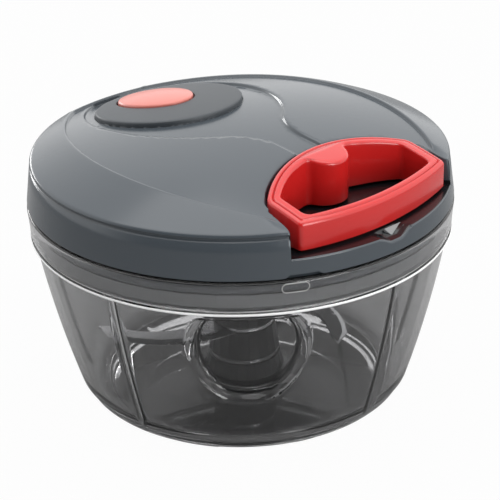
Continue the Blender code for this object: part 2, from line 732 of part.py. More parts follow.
def cover_rings(angles):
    """The whole cover as one closed run: skirt, top, button hole, underside and inner wall."""
    rings = [
        lid_ring(angles, [ray_to_circle(a, SKIRT_INSIDE_RADIUS) for a in angles], PARTING),
        lid_ring(angles, [ray_to_circle(a, LID_RADIUS - 0.3 * MM) for a in angles], PARTING),
        lid_ring(angles, [ray_to_circle(a, LID_RADIUS) for a in angles], PARTING + 0.4 * MM),
        lid_ring(
            angles,
            [ray_to_circle(a, SKIRT_TOP_RADIUS + 0.5 * MM) for a in angles],
            SKIRT_TOP - 0.8 * MM,
        ),
    ]
    rings += top_rings(angles)
    shift = BUTTON_BACK - PLATFORM_BACK
    hole = [ray_to_oval(a, BUTTON_LENGTH + BUTTON_GAP, BUTTON_WIDTH + BUTTON_GAP, shift) for a in angles]
    wall = [ray_to_circle(a, INSIDE_RADIUS) for a in angles]
    for share in (0.0, 0.4, 0.75, 1.0):
        rings.append(lid_ring(angles, between(hole, wall, share), under_height))
    rings.append(lid_ring(angles, wall, COVER_STEP))
    rings.append(lid_ring(angles, [ray_to_circle(a, SKIRT_INSIDE_RADIUS) for a in angles], COVER_STEP))
    return rings


# Handle outline
def arc_points(centre, radius, start, end, count):
    """Points on an arc in the plan, angles in degrees, both ends included."""
    points = []
    for i in range(count):
        angle = math.radians(start + (end - start) * i / (count - 1))
        points.append((centre[0] + radius * math.cos(angle), centre[1] + radius * math.sin(angle)))
    return points


def handle_half(grow):
    """The handle's outer edge for Y >= 0, from the front's middle to the back's middle, grown outwards."""
    front_radius = HANDLE_FRONT_ARC + grow
    front_centre = HANDLE_FRONT - HANDLE_FRONT_ARC
    back_radius = HANDLE_BACK_ARC + grow
    back_centre = HANDLE_BACK + HANDLE_BACK_ARC
    corner = max(0.8 * MM, HANDLE_CORNER + grow)
    side = HANDLE_HALF_WIDTH + grow - corner
    front_corner = max(0.8 * MM, HANDLE_FRONT_CORNER + grow)
    front_side = HANDLE_HALF_WIDTH + grow - front_corner
    # The corner circles touch the side and, from inside, the front and back arcs.
    front_x = front_centre + math.sqrt((front_radius - front_corner) ** 2 - front_side**2)
    back_x = back_centre - math.sqrt((back_radius - corner) ** 2 - side**2)
    front_angle = math.degrees(math.atan2(front_side, front_x - front_centre))
    back_angle = math.degrees(math.atan2(side, back_x - back_centre))
    points = arc_points((front_centre, 0.0), front_radius, 0.0, front_angle, 6)
    points += arc_points((front_x, front_side), front_corner, front_angle, 90.0, 4)[1:]
    points += arc_points((back_x, side), corner, 90.0, back_angle, 4)
    points += arc_points((back_centre, 0.0), back_radius, back_angle, 180.0, 10)[1:]
    return points


def window_half():
    """The window's edge for Y >= 0, with the cord boss bulging in from the back, in as many points."""
    front_centre = HANDLE_FRONT - HANDLE_FRONT_ARC
    front_radius = HANDLE_FRONT_ARC - HANDLE_RIM
    back_centre = HANDLE_BACK + HANDLE_BACK_ARC
    back_radius = HANDLE_BACK_ARC - HANDLE_RIM - 0.2 * MM
    corner = 2.2 * MM
    side = HANDLE_HALF_WIDTH - HANDLE_RIM - 0.8 * MM - corner
    front_x = front_centre + math.sqrt((front_radius - corner) ** 2 - side**2)
    back_x = back_centre - math.sqrt((back_radius - corner) ** 2 - side**2)
    front_angle = math.degrees(math.atan2(side, front_x - front_centre))
    back_angle = math.degrees(math.atan2(side, back_x - back_centre))
    boss_x = BOSS_NOSE - BOSS_RADIUS
    # The fillet circle touches the back arc from inside and the boss from outside.
    fillet = 1.6 * MM
    far = back_radius - fillet
    near = BOSS_RADIUS + fillet
    apart = back_centre - boss_x
    along = (near**2 - far**2 + apart**2) / (2.0 * apart)
    fillet_x = boss_x + along
    fillet_y = math.sqrt(near**2 - along**2)
    arc_end = math.degrees(math.atan2(fillet_y, fillet_x - back_centre))
    boss_angle = math.degrees(math.atan2(fillet_y, fillet_x - boss_x))
    points = arc_points((front_centre, 0.0), front_radius, 0.0, front_angle, 6)
    points += arc_points((front_x, side), corner, front_angle, 90.0, 4)[1:]
    points += arc_points((back_x, side), corner, 90.0, back_angle, 4)
    points += arc_points((back_centre, 0.0), back_radius, back_angle, arc_end, 4)[1:]
    points += arc_points((fillet_x, fillet_y), fillet, arc_end, boss_angle + 180.0, 3)[1:-1]
    points += arc_points((boss_x, 0.0), BOSS_RADIUS, boss_angle, 0.0, 5)
    return points


def mirrored(half):
    """A closed outline from the half for Y >= 0, whose first and last points lie on Y = 0."""
    return half + [(x, -y) for x, y in reversed(half[1:-1])]


def handle_top(x, y):
    return dome(x, y) + HANDLE_PROUD


def at_height(outline, height):
    return [Vector((x, y, height(x, y) if callable(height) else height)) for x, y in outline]


def moved(outline, other, share):
    return [(x + (p - x) * share, y + (q - y) * share) for (x, y), (p, q) in zip(outline, other)]


# Cutting and joining the cover
def recess_outline(grow, front):
    """The recess round the handle, wider at its sides and run straight out to the front at this X."""
    half = handle_half(HANDLE_GAP + grow)
    side = HANDLE_HALF_WIDTH + RECESS_SIDE_GAP + grow
    kept = [(x, y) for x, y in half if x < 44.0 * MM]
    start = kept[0][0] + 3.0 * (RECESS_SIDE_GAP - HANDLE_GAP)
    return mirrored([(front, 0.0), (front, side), (start, side)] + kept)


def make_recess_block():
    """The tub that holds the handle, joined under the cover's top."""
    outline = recess_outline(RECESS_WALL, LID_RADIUS)
    reach = SKIRT_TOP_RADIUS + 0.3 * MM
    clipped = []
    for x, y in outline:
        distance = math.hypot(x, y)
        if distance > reach:
            y = math.copysign(min(abs(y), reach * 0.99), y)
            x = math.sqrt(reach**2 - y * y)
        clipped.append((x, y))
    first = clipped.pop(0)
    arc = []
    side = clipped[0][1]
    for step in range(-3, 4):
        y = side * step / 4
        arc.append((math.sqrt(reach**2 - y * y), y))
    outline = arc + clipped
    low = RECESS_FLOOR - COVER_WALL
    rings = [at_height(outline, low), at_height(outline, lambda x, y: dome(x, y) - VALLEY_DEPTH - 0.6 * MM)]
    return loft("recess_block", rings, None, cutters, smooth=False)


def make_recess_cutter():
    outline = recess_outline(0.0, LID_RADIUS * 1.2)
    rings = [at_height(outline, RECESS_FLOOR), at_height(outline, DOME_TOP + 10.0 * MM)]
    return loft("recess_cutter", rings, None, cutters, smooth=False)


def make_scoop_cutter():
    """A shallow scoop in the ledge below the middle of the handle."""
    half = []
    for i in range(7):
        y = SCOOP_HALF_WIDTH * (i / 3.0 - 1.0)
        drop = SCOOP_DEPTH * (1.0 - (y / SCOOP_HALF_WIDTH) ** 4)
        half.append((y, RECESS_FLOOR - drop))
    high = RECESS_FLOOR + 2.0 * MM
    section = half + [(SCOOP_HALF_WIDTH, high), (-SCOOP_HALF_WIDTH, high)]
    start = SKIRT_TOP_RADIUS - 2.6 * MM
    rings = []
    for x in (start, LID_RADIUS + 3.0 * MM):
        rings.append([Vector((x, SCOOP_PLACE + y, z)) for y, z in section])
    return loft("scoop_cutter", rings, None, cutters, smooth=False)


def make_cover():
    cover = loft("lid_cover", cover_rings(lid_angles()), SLATE, ends="join")
    joined = [make_recess_block()]
    half = NOTCH_LENGTH / 2
    low = PARTING - MM
    high = PARTING + NOTCH_DEPTH
    notch = [(half, low), (half - 0.6 * MM, high), (0.6 * MM - half, high), (-half, low)]
    cut = [make_recess_cutter(), make_scoop_cutter()]
    cut.append(radial_block("lid_notch", NOTCH_AZIMUTH, notch, LID_RADIUS - 4.0 * MM, LID_RADIUS + 2.0 * MM))
    low = BASE_FLOOR_TOP + GAP
    bore = SCREW_RADIUS + RUN_GAP
    for index, angle in enumerate(POST_ANGLES):
        foot = polar(POST_PLACE, angle)
        top = under_height(foot.x, foot.y) + 1.0 * MM
        joined.append(cylinder(f"post_{index}", POST_RADIUS, low, top, foot, segments=12))
        cut.append(cylinder(f"post_hole_{index}", bore, low - MM, low + 8.0 * MM, foot, segments=12))
    boss_top = under_height(0.0, 0.0) + 1.0 * MM
    joined.append(cylinder("axle_boss", 4.4 * MM, REEL_TOP + GAP, boss_top, segments=20))
    bore = AXLE_RADIUS + RUN_GAP
    cut.append(cylinder("axle_boss_bore", bore, REEL_TOP - MM, boss_top - 1.2 * MM, segments=16))
    wall = HANDLE_BACK - HANDLE_GAP
    start = wall - RECESS_WALL - 2.0 * MM
    bore = EYELET_RADIUS + GAP
    cut.append(lying_cylinder("eyelet_hole", bore, start, wall + MM, CORD_HEIGHT, segments=14))
    boolean_all(cover, joined, "UNION")
    boolean_all(cover, cut, "DIFFERENCE")
    return cover


# Heights of the reel stack
SLOT_LOW = CORD_HEIGHT - REEL_SLOT / 2
SLOT_HIGH = CORD_HEIGHT + REEL_SLOT / 2
REEL_LOW = SLOT_LOW - REEL_FLANGE_THICKNESS
REEL_HIGH = SLOT_HIGH + REEL_FLANGE_THICKNESS
REEL_TOP = REEL_HIGH + 1.2 * MM
CASE_TOP = REEL_LOW - 0.7 * MM
CASE_FLOOR = 1.2 * MM
DISC_LOW = BASE_FLOOR_TOP + GAP
DISC_TOP = DISC_LOW + DRIVE_DISC_THICKNESS
STUB_LOW = DISC_TOP + GAP
SHAFT_LOW = PLUG_BOTTOM - SHAFT_BOSS_DROP
CLIP_TOP = SHAFT_LOW - GAP
SHAFT_END = CLIP_TOP - CLIP_THICKNESS - 0.8 * MM
HEX_LOW = SHAFT_END - HEX_LENGTH
HUB_BOTTOM = PIN_BOSS_TOP + GAP
HUB_TOP = SHAFT_END - GAP


def make_reel():
    profile = [
        (AXLE_RADIUS + RUN_GAP, REEL_TOP),
        (5.0 * MM, REEL_TOP),
        (5.0 * MM, REEL_HIGH),
        (REEL_FLANGE, REEL_HIGH),
        (REEL_FLANGE, SLOT_HIGH),
        (DRUM_RADIUS, SLOT_HIGH),
        (DRUM_RADIUS, SLOT_LOW),
        (REEL_FLANGE, SLOT_LOW),
        (REEL_FLANGE, REEL_LOW),
        (ARBOR_RADIUS, REEL_LOW),
        (ARBOR_RADIUS, CASE_BOTTOM - GAP),
        (STUB_RADIUS, CASE_BOTTOM - GAP),
        (STUB_RADIUS, STUB_LOW),
        (AXLE_RADIUS + RUN_GAP, STUB_LOW),
    ]
    return turned("cord_reel", profile, ACETAL, 28)


def make_ratchet():
    """A saw-toothed wheel on the reel's stub."""
    outer = []
    inner = []
    root = RATCHET_RADIUS - RATCHET_TOOTH
    back = RATCHET_RADIUS - RATCHET_TOOTH * 0.4
    for tooth in range(RATCHET_TEETH):
        for share, reach in ((0.0, RATCHET_RADIUS), (0.08, root), (0.6, back)):
            angle = 360.0 * (tooth + share) / RATCHET_TEETH
            outer.append(polar(reach, angle))
            inner.append(polar(STUB_RADIUS + GAP, angle))
    low = STUB_LOW
    high = low + RATCHET_THICKNESS
    rings = []
    for ring, height in ((inner, low), (outer, low), (outer, high), (inner, high)):
        rings.append([Vector((p.x, p.y, height)) for p in ring])
    return loft("ratchet_wheel", rings, SPRING_STEEL, ends="join", smooth=False)


def make_drive():
    """Disc with springy pawl arms, and the shaft that reaches down through the lid's base."""
    bore_end = PLUG_BOTTOM - 1.0 * MM
    groove = SHAFT_RADIUS - CLIP_DEPTH
    profile = [
        (0.0, bore_end),
        (AXLE_RADIUS + RUN_GAP, bore_end),
        (AXLE_RADIUS + RUN_GAP, DISC_TOP),
        (DRIVE_DISC_RADIUS, DISC_TOP),
        (DRIVE_DISC_RADIUS, DISC_LOW),
        (SHAFT_RADIUS, DISC_LOW),
        (SHAFT_RADIUS, CLIP_TOP + RUN_GAP),
        (groove, CLIP_TOP + RUN_GAP),
        (groove, CLIP_TOP - CLIP_THICKNESS - RUN_GAP),
        (SHAFT_RADIUS, CLIP_TOP - CLIP_THICKNESS - RUN_GAP),
        (SHAFT_RADIUS, SHAFT_END),
        (0.0, SHAFT_END),
    ]
    drive = turned("drive_disc", profile, BLACK, 26, closed=False)
    corner = HEX_FLATS / 2 / math.cos(math.pi / 6)
    joined = [cylinder("drive_hex", corner, HEX_LOW, SHAFT_END + 0.3 * MM, segments=6)]
    joined += [make_pawl(index) for index in range(PAWL_COUNT)]
    boolean_all(drive, joined, "UNION")
    return drive


def make_pawl(index):
    """One curved arm from the disc's edge in to a ratchet tooth."""
    turn = 360.0 * index / PAWL_COUNT
    inner = []
    outer = []
    for step in range(8):
        share = step / 7.0
        angle = turn + 12.0 + 62.0 * share
        reach = RATCHET_RADIUS + 0.5 * MM + (DRIVE_DISC_RADIUS - RATCHET_RADIUS - 2.0 * MM) * share
        inner.append(polar(reach, angle))
        outer.append(polar(reach + 1.2 * MM, angle))
    outline = inner + list(reversed(outer))
    # The arm hangs free of the disc but for its outer end, which stands on it.
    high = STUB_LOW + RATCHET_THICKNESS - 0.2 * MM
    rings = [[Vector((p.x, p.y, height)) for p in outline] for height in (DISC_TOP - 0.3 * MM, high)]
    return loft(f"pawl_{index}", rings, None, cutters, smooth=False)


def make_axle():
    top = under_height(0.0, 0.0) - 0.5 * MM
    low = PLUG_BOTTOM - 0.7 * MM
    profile = [(0.0, top), (AXLE_RADIUS, top), (AXLE_RADIUS, low), (0.0, low)]
    return turned("reel_axle", profile, STEEL, 20, closed=False)


def make_spring_case():
    profile = [
        (CASE_RADIUS - CASE_WALL, CASE_TOP),
        (CASE_RADIUS, CASE_TOP),
        (CASE_RADIUS, CASE_BOTTOM),
        (ARBOR_RADIUS + GAP, CASE_BOTTOM),
        (ARBOR_RADIUS + GAP, CASE_BOTTOM + CASE_FLOOR),
        (CASE_RADIUS - CASE_WALL, CASE_BOTTOM + CASE_FLOOR),
    ]
    case = turned("spring_case", profile, BLACK, 36)
    ears = []
    holes = []
    high = CASE_BOTTOM + CASE_EAR_THICKNESS
    for index, angle in enumerate(CASE_EAR_ANGLES):
        centre = polar(CASE_EAR_PLACE, angle)
        ears.append(cylinder(f"ear_{index}", CASE_EAR_RADIUS, CASE_BOTTOM, high, centre, segments=14))
        bore = SCREW_RADIUS + RUN_GAP
        holes.append(cylinder(f"ear_hole_{index}", bore, CASE_BOTTOM - MM, high + MM, centre, segments=12))
    boolean_all(case, ears, "UNION")
    boolean_all(case, holes, "DIFFERENCE")
    return case


def make_spiral():
    """The flat return spring, wound from the reel's arbor out to the case."""
    start = ARBOR_RADIUS + GAP + SPIRAL_STRIP / 2
    end = CASE_RADIUS - CASE_WALL - GAP - SPIRAL_STRIP / 2
    count = 24 * SPIRAL_TURNS
    low = CASE_BOTTOM + CASE_FLOOR + 0.5 * MM
    high = low + SPIRAL_HEIGHT
    rings = []
    for step in range(count + 1):
        share = step / count
        angle = 360.0 * SPIRAL_TURNS * share
        reach = start + (end - start) * share
        inside = polar(reach - SPIRAL_STRIP / 2, angle)
        outside = polar(reach + SPIRAL_STRIP / 2, angle)
        rings.append(
            [
                Vector((inside.x, inside.y, low)),
                Vector((outside.x, outside.y, low)),
                Vector((outside.x, outside.y, high)),
                Vector((inside.x, inside.y, high)),
            ]
        )
    pitch = (end - start) / SPIRAL_TURNS
    print(f"return spring: least gap between turns {(pitch - SPIRAL_STRIP) / MM:.2f} mm")
    return loft("return_spring", rings, SPRING_STEEL)


# Cord
def wound_points():
    """The cord's turns on the drum, closer than a turn apart, ending where it leaves the reel."""
    count = int(round(24 * WOUND_TURNS))
    points = []
    for step in range(count + 1):
        share = step / count
        angle = LEAVE_ANGLE - 360.0 * WOUND_TURNS * (1.0 - share)
        points.append(polar(WOUND_START + WOUND_PITCH * WOUND_TURNS * share, angle, CORD_HEIGHT - CORD_SIDE))
    return points


def tube(name, points, diameter, material):
    curve = bpy.data.curves.new(name, "CURVE")
    curve.dimensions = "3D"
    curve.bevel_depth = diameter / 2
    curve.bevel_resolution = 1
    curve.use_fill_caps = True
    spline = curve.splines.new("POLY")
    spline.points.add(len(points) - 1)
    for target, point in zip(spline.points, points):
        target.co = (*point, 1.0)
    return place(bpy.data.objects.new(name, curve), material)


def make_cord():
    wound = wound_points()
    tube("cord_wound", wound, CORD_DIAMETER, CORD)
    length = sum((b - a).length for a, b in zip(wound[:-1], wound[1:]))
    # Neighbouring turns are compared a full turn apart.
    least = min((wound[i + 24] - wound[i]).length for i in range(len(wound) - 24)) - CORD_DIAMETER
    print(f"wound cord: {length / MM:.0f} mm long, least gap to itself {least / MM:.2f} mm")
    start = wound[-1] + Vector((0.0, 0.0, 2.0 * CORD_SIDE))
    wall = HANDLE_BACK - HANDLE_GAP
    bend = Vector((wall - RECESS_WALL - 2.6 * MM, -2.4 * MM, CORD_HEIGHT + 0.8 * CORD_SIDE))
    lead = [
        start,
        start.lerp(bend, 0.5),
        bend,
        Vector((wall - RECESS_WALL - 0.4 * MM, -0.5 * MM, CORD_HEIGHT + 0.25 * CORD_SIDE)),
        Vector((wall - RECESS_WALL + 0.8 * MM, 0.0, CORD_HEIGHT)),
        Vector((wall + 0.3 * MM, 0.0, CORD_HEIGHT)),
    ]
    tube("cord_lead", lead, CORD_DIAMETER, CORD)
    stub = [
        Vector((wall + 0.3 * MM + GAP, 0.0, CORD_HEIGHT)),
        Vector((HANDLE_BACK, 0.0, CORD_HEIGHT)),
        Vector((KNOT_PLACE - KNOT_RADIUS - GAP, 0.0, CORD_HEIGHT)),
    ]
    tube("cord_stub", stub, CORD_DIAMETER, CORD)


KNOT_PLACE = HANDLE_BACK + 2.2 * MM + KNOT_POCKET_RADIUS


def make_eyelet():
    """A flanged bush in the recess's back wall that the cord runs through."""
    wall = HANDLE_BACK - HANDLE_GAP
    start = wall - RECESS_WALL - 0.2 * MM
    flange = wall + GAP
    end = flange + 0.6 * MM
    builder = bmesh.new()
    rows = []
    section = [
        (start, EYELET_BORE + 0.9 * MM),
        (start, EYELET_RADIUS),
        (flange, EYELET_RADIUS),
        (flange, EYELET_RADIUS + 1.0 * MM),
        (end, EYELET_RADIUS + 0.8 * MM),
        (end, EYELET_BORE + 0.3 * MM),
        (start + 1.6 * MM, EYELET_BORE),
    ]
    for x, reach in section:
        row = []
        for step in range(16):
            angle = 2.0 * math.pi * step / 16
            point = (x, reach * math.cos(angle), CORD_HEIGHT + reach * math.sin(angle))
            row.append(builder.verts.new(point))
        rows.append(row)
    for low, high in zip(rows, rows[1:] + rows[:1]):
        for i in range(16):
            j = (i + 1) % 16
            builder.faces.new((low[i], low[j], high[j], high[i]))
    bmesh.ops.recalc_face_normals(builder, faces=builder.faces)
    return mesh_object("cord_eyelet", builder, STEEL)


# Handle
def make_handle():
    outer = mirrored(handle_half(0.0))
    shoulder = mirrored(handle_half(-HANDLE_CHAMFER))
    window = mirrored(window_half())
    rim = moved(window, shoulder, 0.12)
    rings = [
        at_height(outer, HANDLE_BOTTOM),
        at_height(outer, lambda x, y: handle_top(x, y) - HANDLE_CHAMFER),
        at_height(shoulder, handle_top),
        at_height(rim, handle_top),
        at_height(window, lambda x, y: handle_top(x, y) - 0.5 * MM),
        at_height(window, HANDLE_BOTTOM),
    ]
    handle = loft("handle", rings, RED, ends="join", smooth=False)
    pocket = cylinder(
        "knot_pocket",
        KNOT_POCKET_RADIUS,
        HANDLE_BOTTOM - MM,
        CORD_HEIGHT + KNOT_RADIUS + 1.2 * MM,
        (KNOT_PLACE, 0.0),
        segments=20,
    )
    boolean(handle, pocket, "DIFFERENCE")
    hole = lying_cylinder(
        "cord_hole", CORD_DIAMETER / 2 + GAP, HANDLE_BACK - MM, KNOT_PLACE, CORD_HEIGHT, segments=12
    )
    boolean(handle, hole, "DIFFERENCE")
    return handle


def make_knot():
    builder = bmesh.new()
    bmesh.ops.create_uvsphere(builder, u_segments=12, v_segments=8, radius=KNOT_RADIUS)
    bmesh.ops.translate(builder, verts=builder.verts, vec=(KNOT_PLACE, 0.0, CORD_HEIGHT))
    return mesh_object("cord_knot", builder, CORD)


def make_knot_plug():
    low = HANDLE_BOTTOM + 0.2 * MM
    radius = KNOT_POCKET_RADIUS - GAP / 2
    return cylinder("knot_plug", radius, low, low + 1.6 * MM, (KNOT_PLACE, 0.0), RED, parts, 20)


# Lid base and seal
def make_base():
    groove_low = PLUG_BOTTOM + 4.4 * MM
    groove_high = groove_low + SEAL_HEIGHT + 2.0 * GAP
    groove = PLUG_RADIUS - SEAL_DEPTH
    bore = SHAFT_RADIUS + RUN_GAP + BUSH_WALL + RUN_GAP
    profile = [
        (PLUG_RADIUS - PLUG_WALL, PLUG_TOP),
        (PLUG_RADIUS, PLUG_TOP),
        (PLUG_RADIUS, groove_high),
        (groove, groove_high),
        (groove, groove_low),
        (PLUG_RADIUS, groove_low),
        (PLUG_RADIUS, PLUG_BOTTOM + 0.8 * MM),
        (PLUG_RADIUS - 0.8 * MM, PLUG_BOTTOM),
        (SHAFT_BOSS_RADIUS + 0.6 * MM, PLUG_BOTTOM),
        (SHAFT_BOSS_RADIUS, SHAFT_LOW),
        (bore, SHAFT_LOW),
        (bore, BASE_FLOOR_TOP),
        (groove - PLUG_WALL, BASE_FLOOR_TOP),
        (groove - PLUG_WALL, groove_high + 0.6 * MM),
        (PLUG_RADIUS - PLUG_WALL, groove_high + 1.8 * MM),
    ]
    base = turned("lid_base", profile, SLATE, 42)
    joined = []
    cut = []
    bore = SCREW_RADIUS + RUN_GAP
    low = PLUG_BOTTOM + 0.5 * MM
    for index, angle in enumerate(CASE_EAR_ANGLES):
        centre = polar(CASE_EAR_PLACE, angle)
        top = CASE_BOTTOM - GAP
        joined.append(cylinder(f"pillar_{index}", PILLAR_RADIUS, low, top, centre, segments=12))
        bottom = BASE_FLOOR_TOP - 0.6 * MM
        cut.append(cylinder(f"pillar_hole_{index}", bore, bottom, top + MM, centre, segments=12))
    centre = (BUTTON_BACK, 0.0)
    top = BUTTON_SPRING_LOW - GAP
    joined.append(cylinder("valve_guide", STEM_RADIUS + 2.2 * MM, low, top, centre, segments=16))
    hole = STEM_RADIUS + 0.7 * MM
    cut.append(cylinder("valve_hole", hole, PLUG_BOTTOM - MM, top + MM, centre, segments=16))
    for index, angle in enumerate(POST_ANGLES):
        centre = polar(POST_PLACE, angle)
        low = PLUG_BOTTOM - MM
        cut.append(cylinder(f"base_hole_{index}", bore, low, BASE_FLOOR_TOP + MM, centre, segments=8))
        sink = SCREW_HEAD_RADIUS + GAP
        cut.append(cylinder(f"base_sink_{index}", sink, low, PLUG_BOTTOM + SCREW_SINK, centre, segments=12))
    boolean_all(base, joined, "UNION")
    boolean_all(base, cut, "DIFFERENCE")
    return base


def make_seal():
    low = PLUG_BOTTOM + 4.4 * MM + GAP
    high = low + SEAL_HEIGHT
    inner = PLUG_RADIUS - SEAL_DEPTH + GAP
    outer = COLLAR_INNER_RADIUS - SEAL_SQUEEZE_GAP
    middle = (low + high) / 2
    profile = [
        (inner, high),
        (outer - 0.5 * MM, high),
        (outer, middle + 0.5 * MM),
        (outer, middle - 0.5 * MM),
        (outer - 0.5 * MM, low),
        (inner, low),
    ]
    return turned("lid_seal", profile, SILICONE, 42)


def make_bush():
    inner = SHAFT_RADIUS + RUN_GAP
    outer = inner + BUSH_WALL
    profile = [
        (inner, BASE_FLOOR_TOP - 0.1 * MM),
        (outer, BASE_FLOOR_TOP - 0.1 * MM),
        (outer, SHAFT_LOW + 0.1 * MM),
        (inner, SHAFT_LOW + 0.1 * MM),
    ]
    return turned("shaft_bush", profile, BRASS, 24)


def make_clip():
    """The ring that sits in the shaft's groove and holds the shaft up below the base."""
    inner = SHAFT_RADIUS - CLIP_DEPTH + RUN_GAP
    outer = SHAFT_RADIUS + 2.2 * MM
    low = CLIP_TOP - CLIP_THICKNESS
    return turned("shaft_clip", [(inner, CLIP_TOP), (outer, CLIP_TOP), (outer, low), (inner, low)], STEEL, 20)


def make_screw(name, centre, head_low, points_down):
    """A pan-head screw: its head on one side and its shank through to the other."""
    length = 6.5 * MM
    if points_down:
        profile = [
            (0.0, head_low + SCREW_HEAD_HEIGHT),
            (SCREW_HEAD_RADIUS * 0.7, head_low + SCREW_HEAD_HEIGHT),
            (SCREW_HEAD_RADIUS, head_low + SCREW_HEAD_HEIGHT * 0.5),
            (SCREW_HEAD_RADIUS, head_low),
            (SCREW_RADIUS, head_low),
            (SCREW_RADIUS, head_low - length),
            (0.0, head_low - length - 0.6 * MM),
        ]
    else:
        profile = [
            (0.0, head_low + SCREW_HEAD_HEIGHT + length + 0.6 * MM),
            (SCREW_RADIUS, head_low + SCREW_HEAD_HEIGHT + length),
            (SCREW_RADIUS, head_low + SCREW_HEAD_HEIGHT),
            (SCREW_HEAD_RADIUS, head_low + SCREW_HEAD_HEIGHT),
            (SCREW_HEAD_RADIUS, head_low + SCREW_HEAD_HEIGHT * 0.5),
            (SCREW_HEAD_RADIUS * 0.7, head_low),
            (0.0, head_low),
        ]
    screw = turned(name, profile, STEEL, 8, closed=False)
    screw.location = (centre.x, centre.y, 0.0)
    return screw


# Button and vent valve
BUTTON_SPRING_LOW = PARTING + BUTTON_SPRING_RISE
BUTTON_FLANGE_TOP = under_height(BUTTON_BACK - BUTTON_LENGTH - BUTTON_FLANGE, 0.0) - GAP
BUTTON_FLANGE_LOW = BUTTON_FLANGE_TOP - 1.2 * MM


def button_top(x, y):
    """The button's crowned top, a little proud of the platform."""
    k = ((x - BUTTON_BACK) / BUTTON_LENGTH) ** 2 + (y / BUTTON_WIDTH) ** 2
    return dome(x, y) + PLATFORM_RISE + BUTTON_PROUD + BUTTON_CROWN * (1.0 - k)


def oval(length, width, count=26):
    points = []
    for step in range(count):
        angle = 2.0 * math.pi * step / count
        points.append((BUTTON_BACK + length * math.cos(angle), width * math.sin(angle)))
    return points


def make_button():
    """A crowned oval cap, hollow below, with a flange under the cover's edge and a stem."""
    length = BUTTON_LENGTH
    width = BUTTON_WIDTH
    wall = BUTTON_SKIRT_WALL
    ceiling = BUTTON_FLANGE_TOP + 0.6 * MM
    rings = [
        at_height(oval(length - wall, width - wall), ceiling),
        at_height(oval(length - wall, width - wall), BUTTON_FLANGE_LOW),
        at_height(oval(length + BUTTON_FLANGE, width + BUTTON_FLANGE), BUTTON_FLANGE_LOW),
        at_height(oval(length + BUTTON_FLANGE, width + BUTTON_FLANGE), BUTTON_FLANGE_TOP),
        at_height(oval(length, width), BUTTON_FLANGE_TOP),
        at_height(oval(length, width), lambda x, y: button_top(x, y) - 0.5 * MM),
        at_height(oval(length - 0.5 * MM, width - 0.5 * MM), button_top),
        at_height(oval(length * 0.7, width * 0.7), button_top),
        at_height(oval(length * 0.35, width * 0.35), button_top),
    ]
    button = loft("button", rings, CORAL)
    stem = cylinder(
        "stem_core",
        STEM_RADIUS,
        VALVE_LOW + VALVE_THICKNESS + GAP,
        ceiling + 0.4 * MM,
        (BUTTON_BACK, 0.0),
        segments=16,
    )
    boolean(button, stem, "UNION")
    return button


VALVE_LOW = PLUG_BOTTOM - GAP - VALVE_THICKNESS


def make_valve():
    """The soft disc that closes the vent hole from below."""
    profile = [
        (0.0, VALVE_LOW + VALVE_THICKNESS),
        (VALVE_RADIUS, VALVE_LOW + VALVE_THICKNESS),
        (VALVE_RADIUS, VALVE_LOW + 0.4 * MM),
        (VALVE_RADIUS - 0.6 * MM, VALVE_LOW),
        (0.0, VALVE_LOW),
    ]
    valve = turned("vent_valve", profile, SILICONE, 24, closed=False)
    valve.location = (BUTTON_BACK, 0.0, 0.0)
    return valve


def make_button_spring():
    """The coil spring between the valve guide and the button's ceiling."""
    low = BUTTON_SPRING_LOW + BUTTON_SPRING_WIRE
    high = BUTTON_FLANGE_TOP + 0.6 * MM - GAP - BUTTON_SPRING_WIRE
    points = []
    count = 8 * BUTTON_SPRING_TURNS
    for step in range(count + 1):
        share = step / count
        angle = 360.0 * BUTTON_SPRING_TURNS * share
        point = polar(BUTTON_SPRING_RADIUS, angle, low + (high - low) * share)
        points.append(point + Vector((BUTTON_BACK, 0.0, 0.0)))
    pitch = (high - low) / BUTTON_SPRING_TURNS
    print(f"button spring: least gap to itself {(pitch - 2 * BUTTON_SPRING_WIRE) / MM:.2f} mm")
    return tube("button_spring", points, 2.0 * BUTTON_SPRING_WIRE, SPRING_STEEL)


# Blade unit
def blade_outline():
    """One sickle blade in the plan, from its eye out along +X and curving back to a point."""
    leading = []
    trailing = []
    count = 12
    for step in range(count + 1):
        share = step / count
        sweep = -38.0 * share**1.4
        reach = BLADE_ROOT + (BLADE_REACH - BLADE_ROOT) * share
        half = BLADE_WIDTH / 2 * (1.0 - 0.55 * share)
        tip = 1.0 if step < count else 0.12
        centre = polar(reach, sweep)
        side = polar(1.0, sweep + 90.0 - 18.0 * share)
        leading.append(centre + side * half * tip)
        trailing.append(centre - side * half * tip)
    return leading, trailing


def make_blade(index, height, azimuth):
    """A flat blade with a ground edge and an eye that fits the hub's core."""
    leading, trailing = blade_outline()
    turn = math.radians(azimuth)

    def spot(point, level):
        x = point.x * math.cos(turn) - point.y * math.sin(turn)
        y = point.x * math.sin(turn) + point.y * math.cos(turn)
        return Vector((x, y, level))

    rings = []
    for lead, trail in zip(leading, trailing):
        ground = lead.lerp(trail, 0.28)
        low = height
        high = height + BLADE_THICKNESS
        edge = spot(lead, low + 0.15 * MM)
        rings.append([spot(trail, low), spot(lead, low), edge, spot(ground, high), spot(trail, high)])
    blade = loft(f"blade_{index}", rings, STEEL, smooth=False)
    eye_radius = cone_radius(height) - GAP
    eye = turned(
        f"blade_eye_{index}",
        [
            (HUB_CORE_RADIUS + GAP, height + BLADE_THICKNESS),
            (eye_radius, height + BLADE_THICKNESS),
            (eye_radius, height),
            (HUB_CORE_RADIUS + GAP, height),
        ],
        None,
        20,
        cutters,
    )
    boolean(blade, eye, "UNION")
    bore = cylinder(
        f"blade_bore_{index}", HUB_CORE_RADIUS + GAP, height - MM, height + BLADE_THICKNESS + MM, segments=20
    )
    boolean(blade, bore, "DIFFERENCE")
    return blade


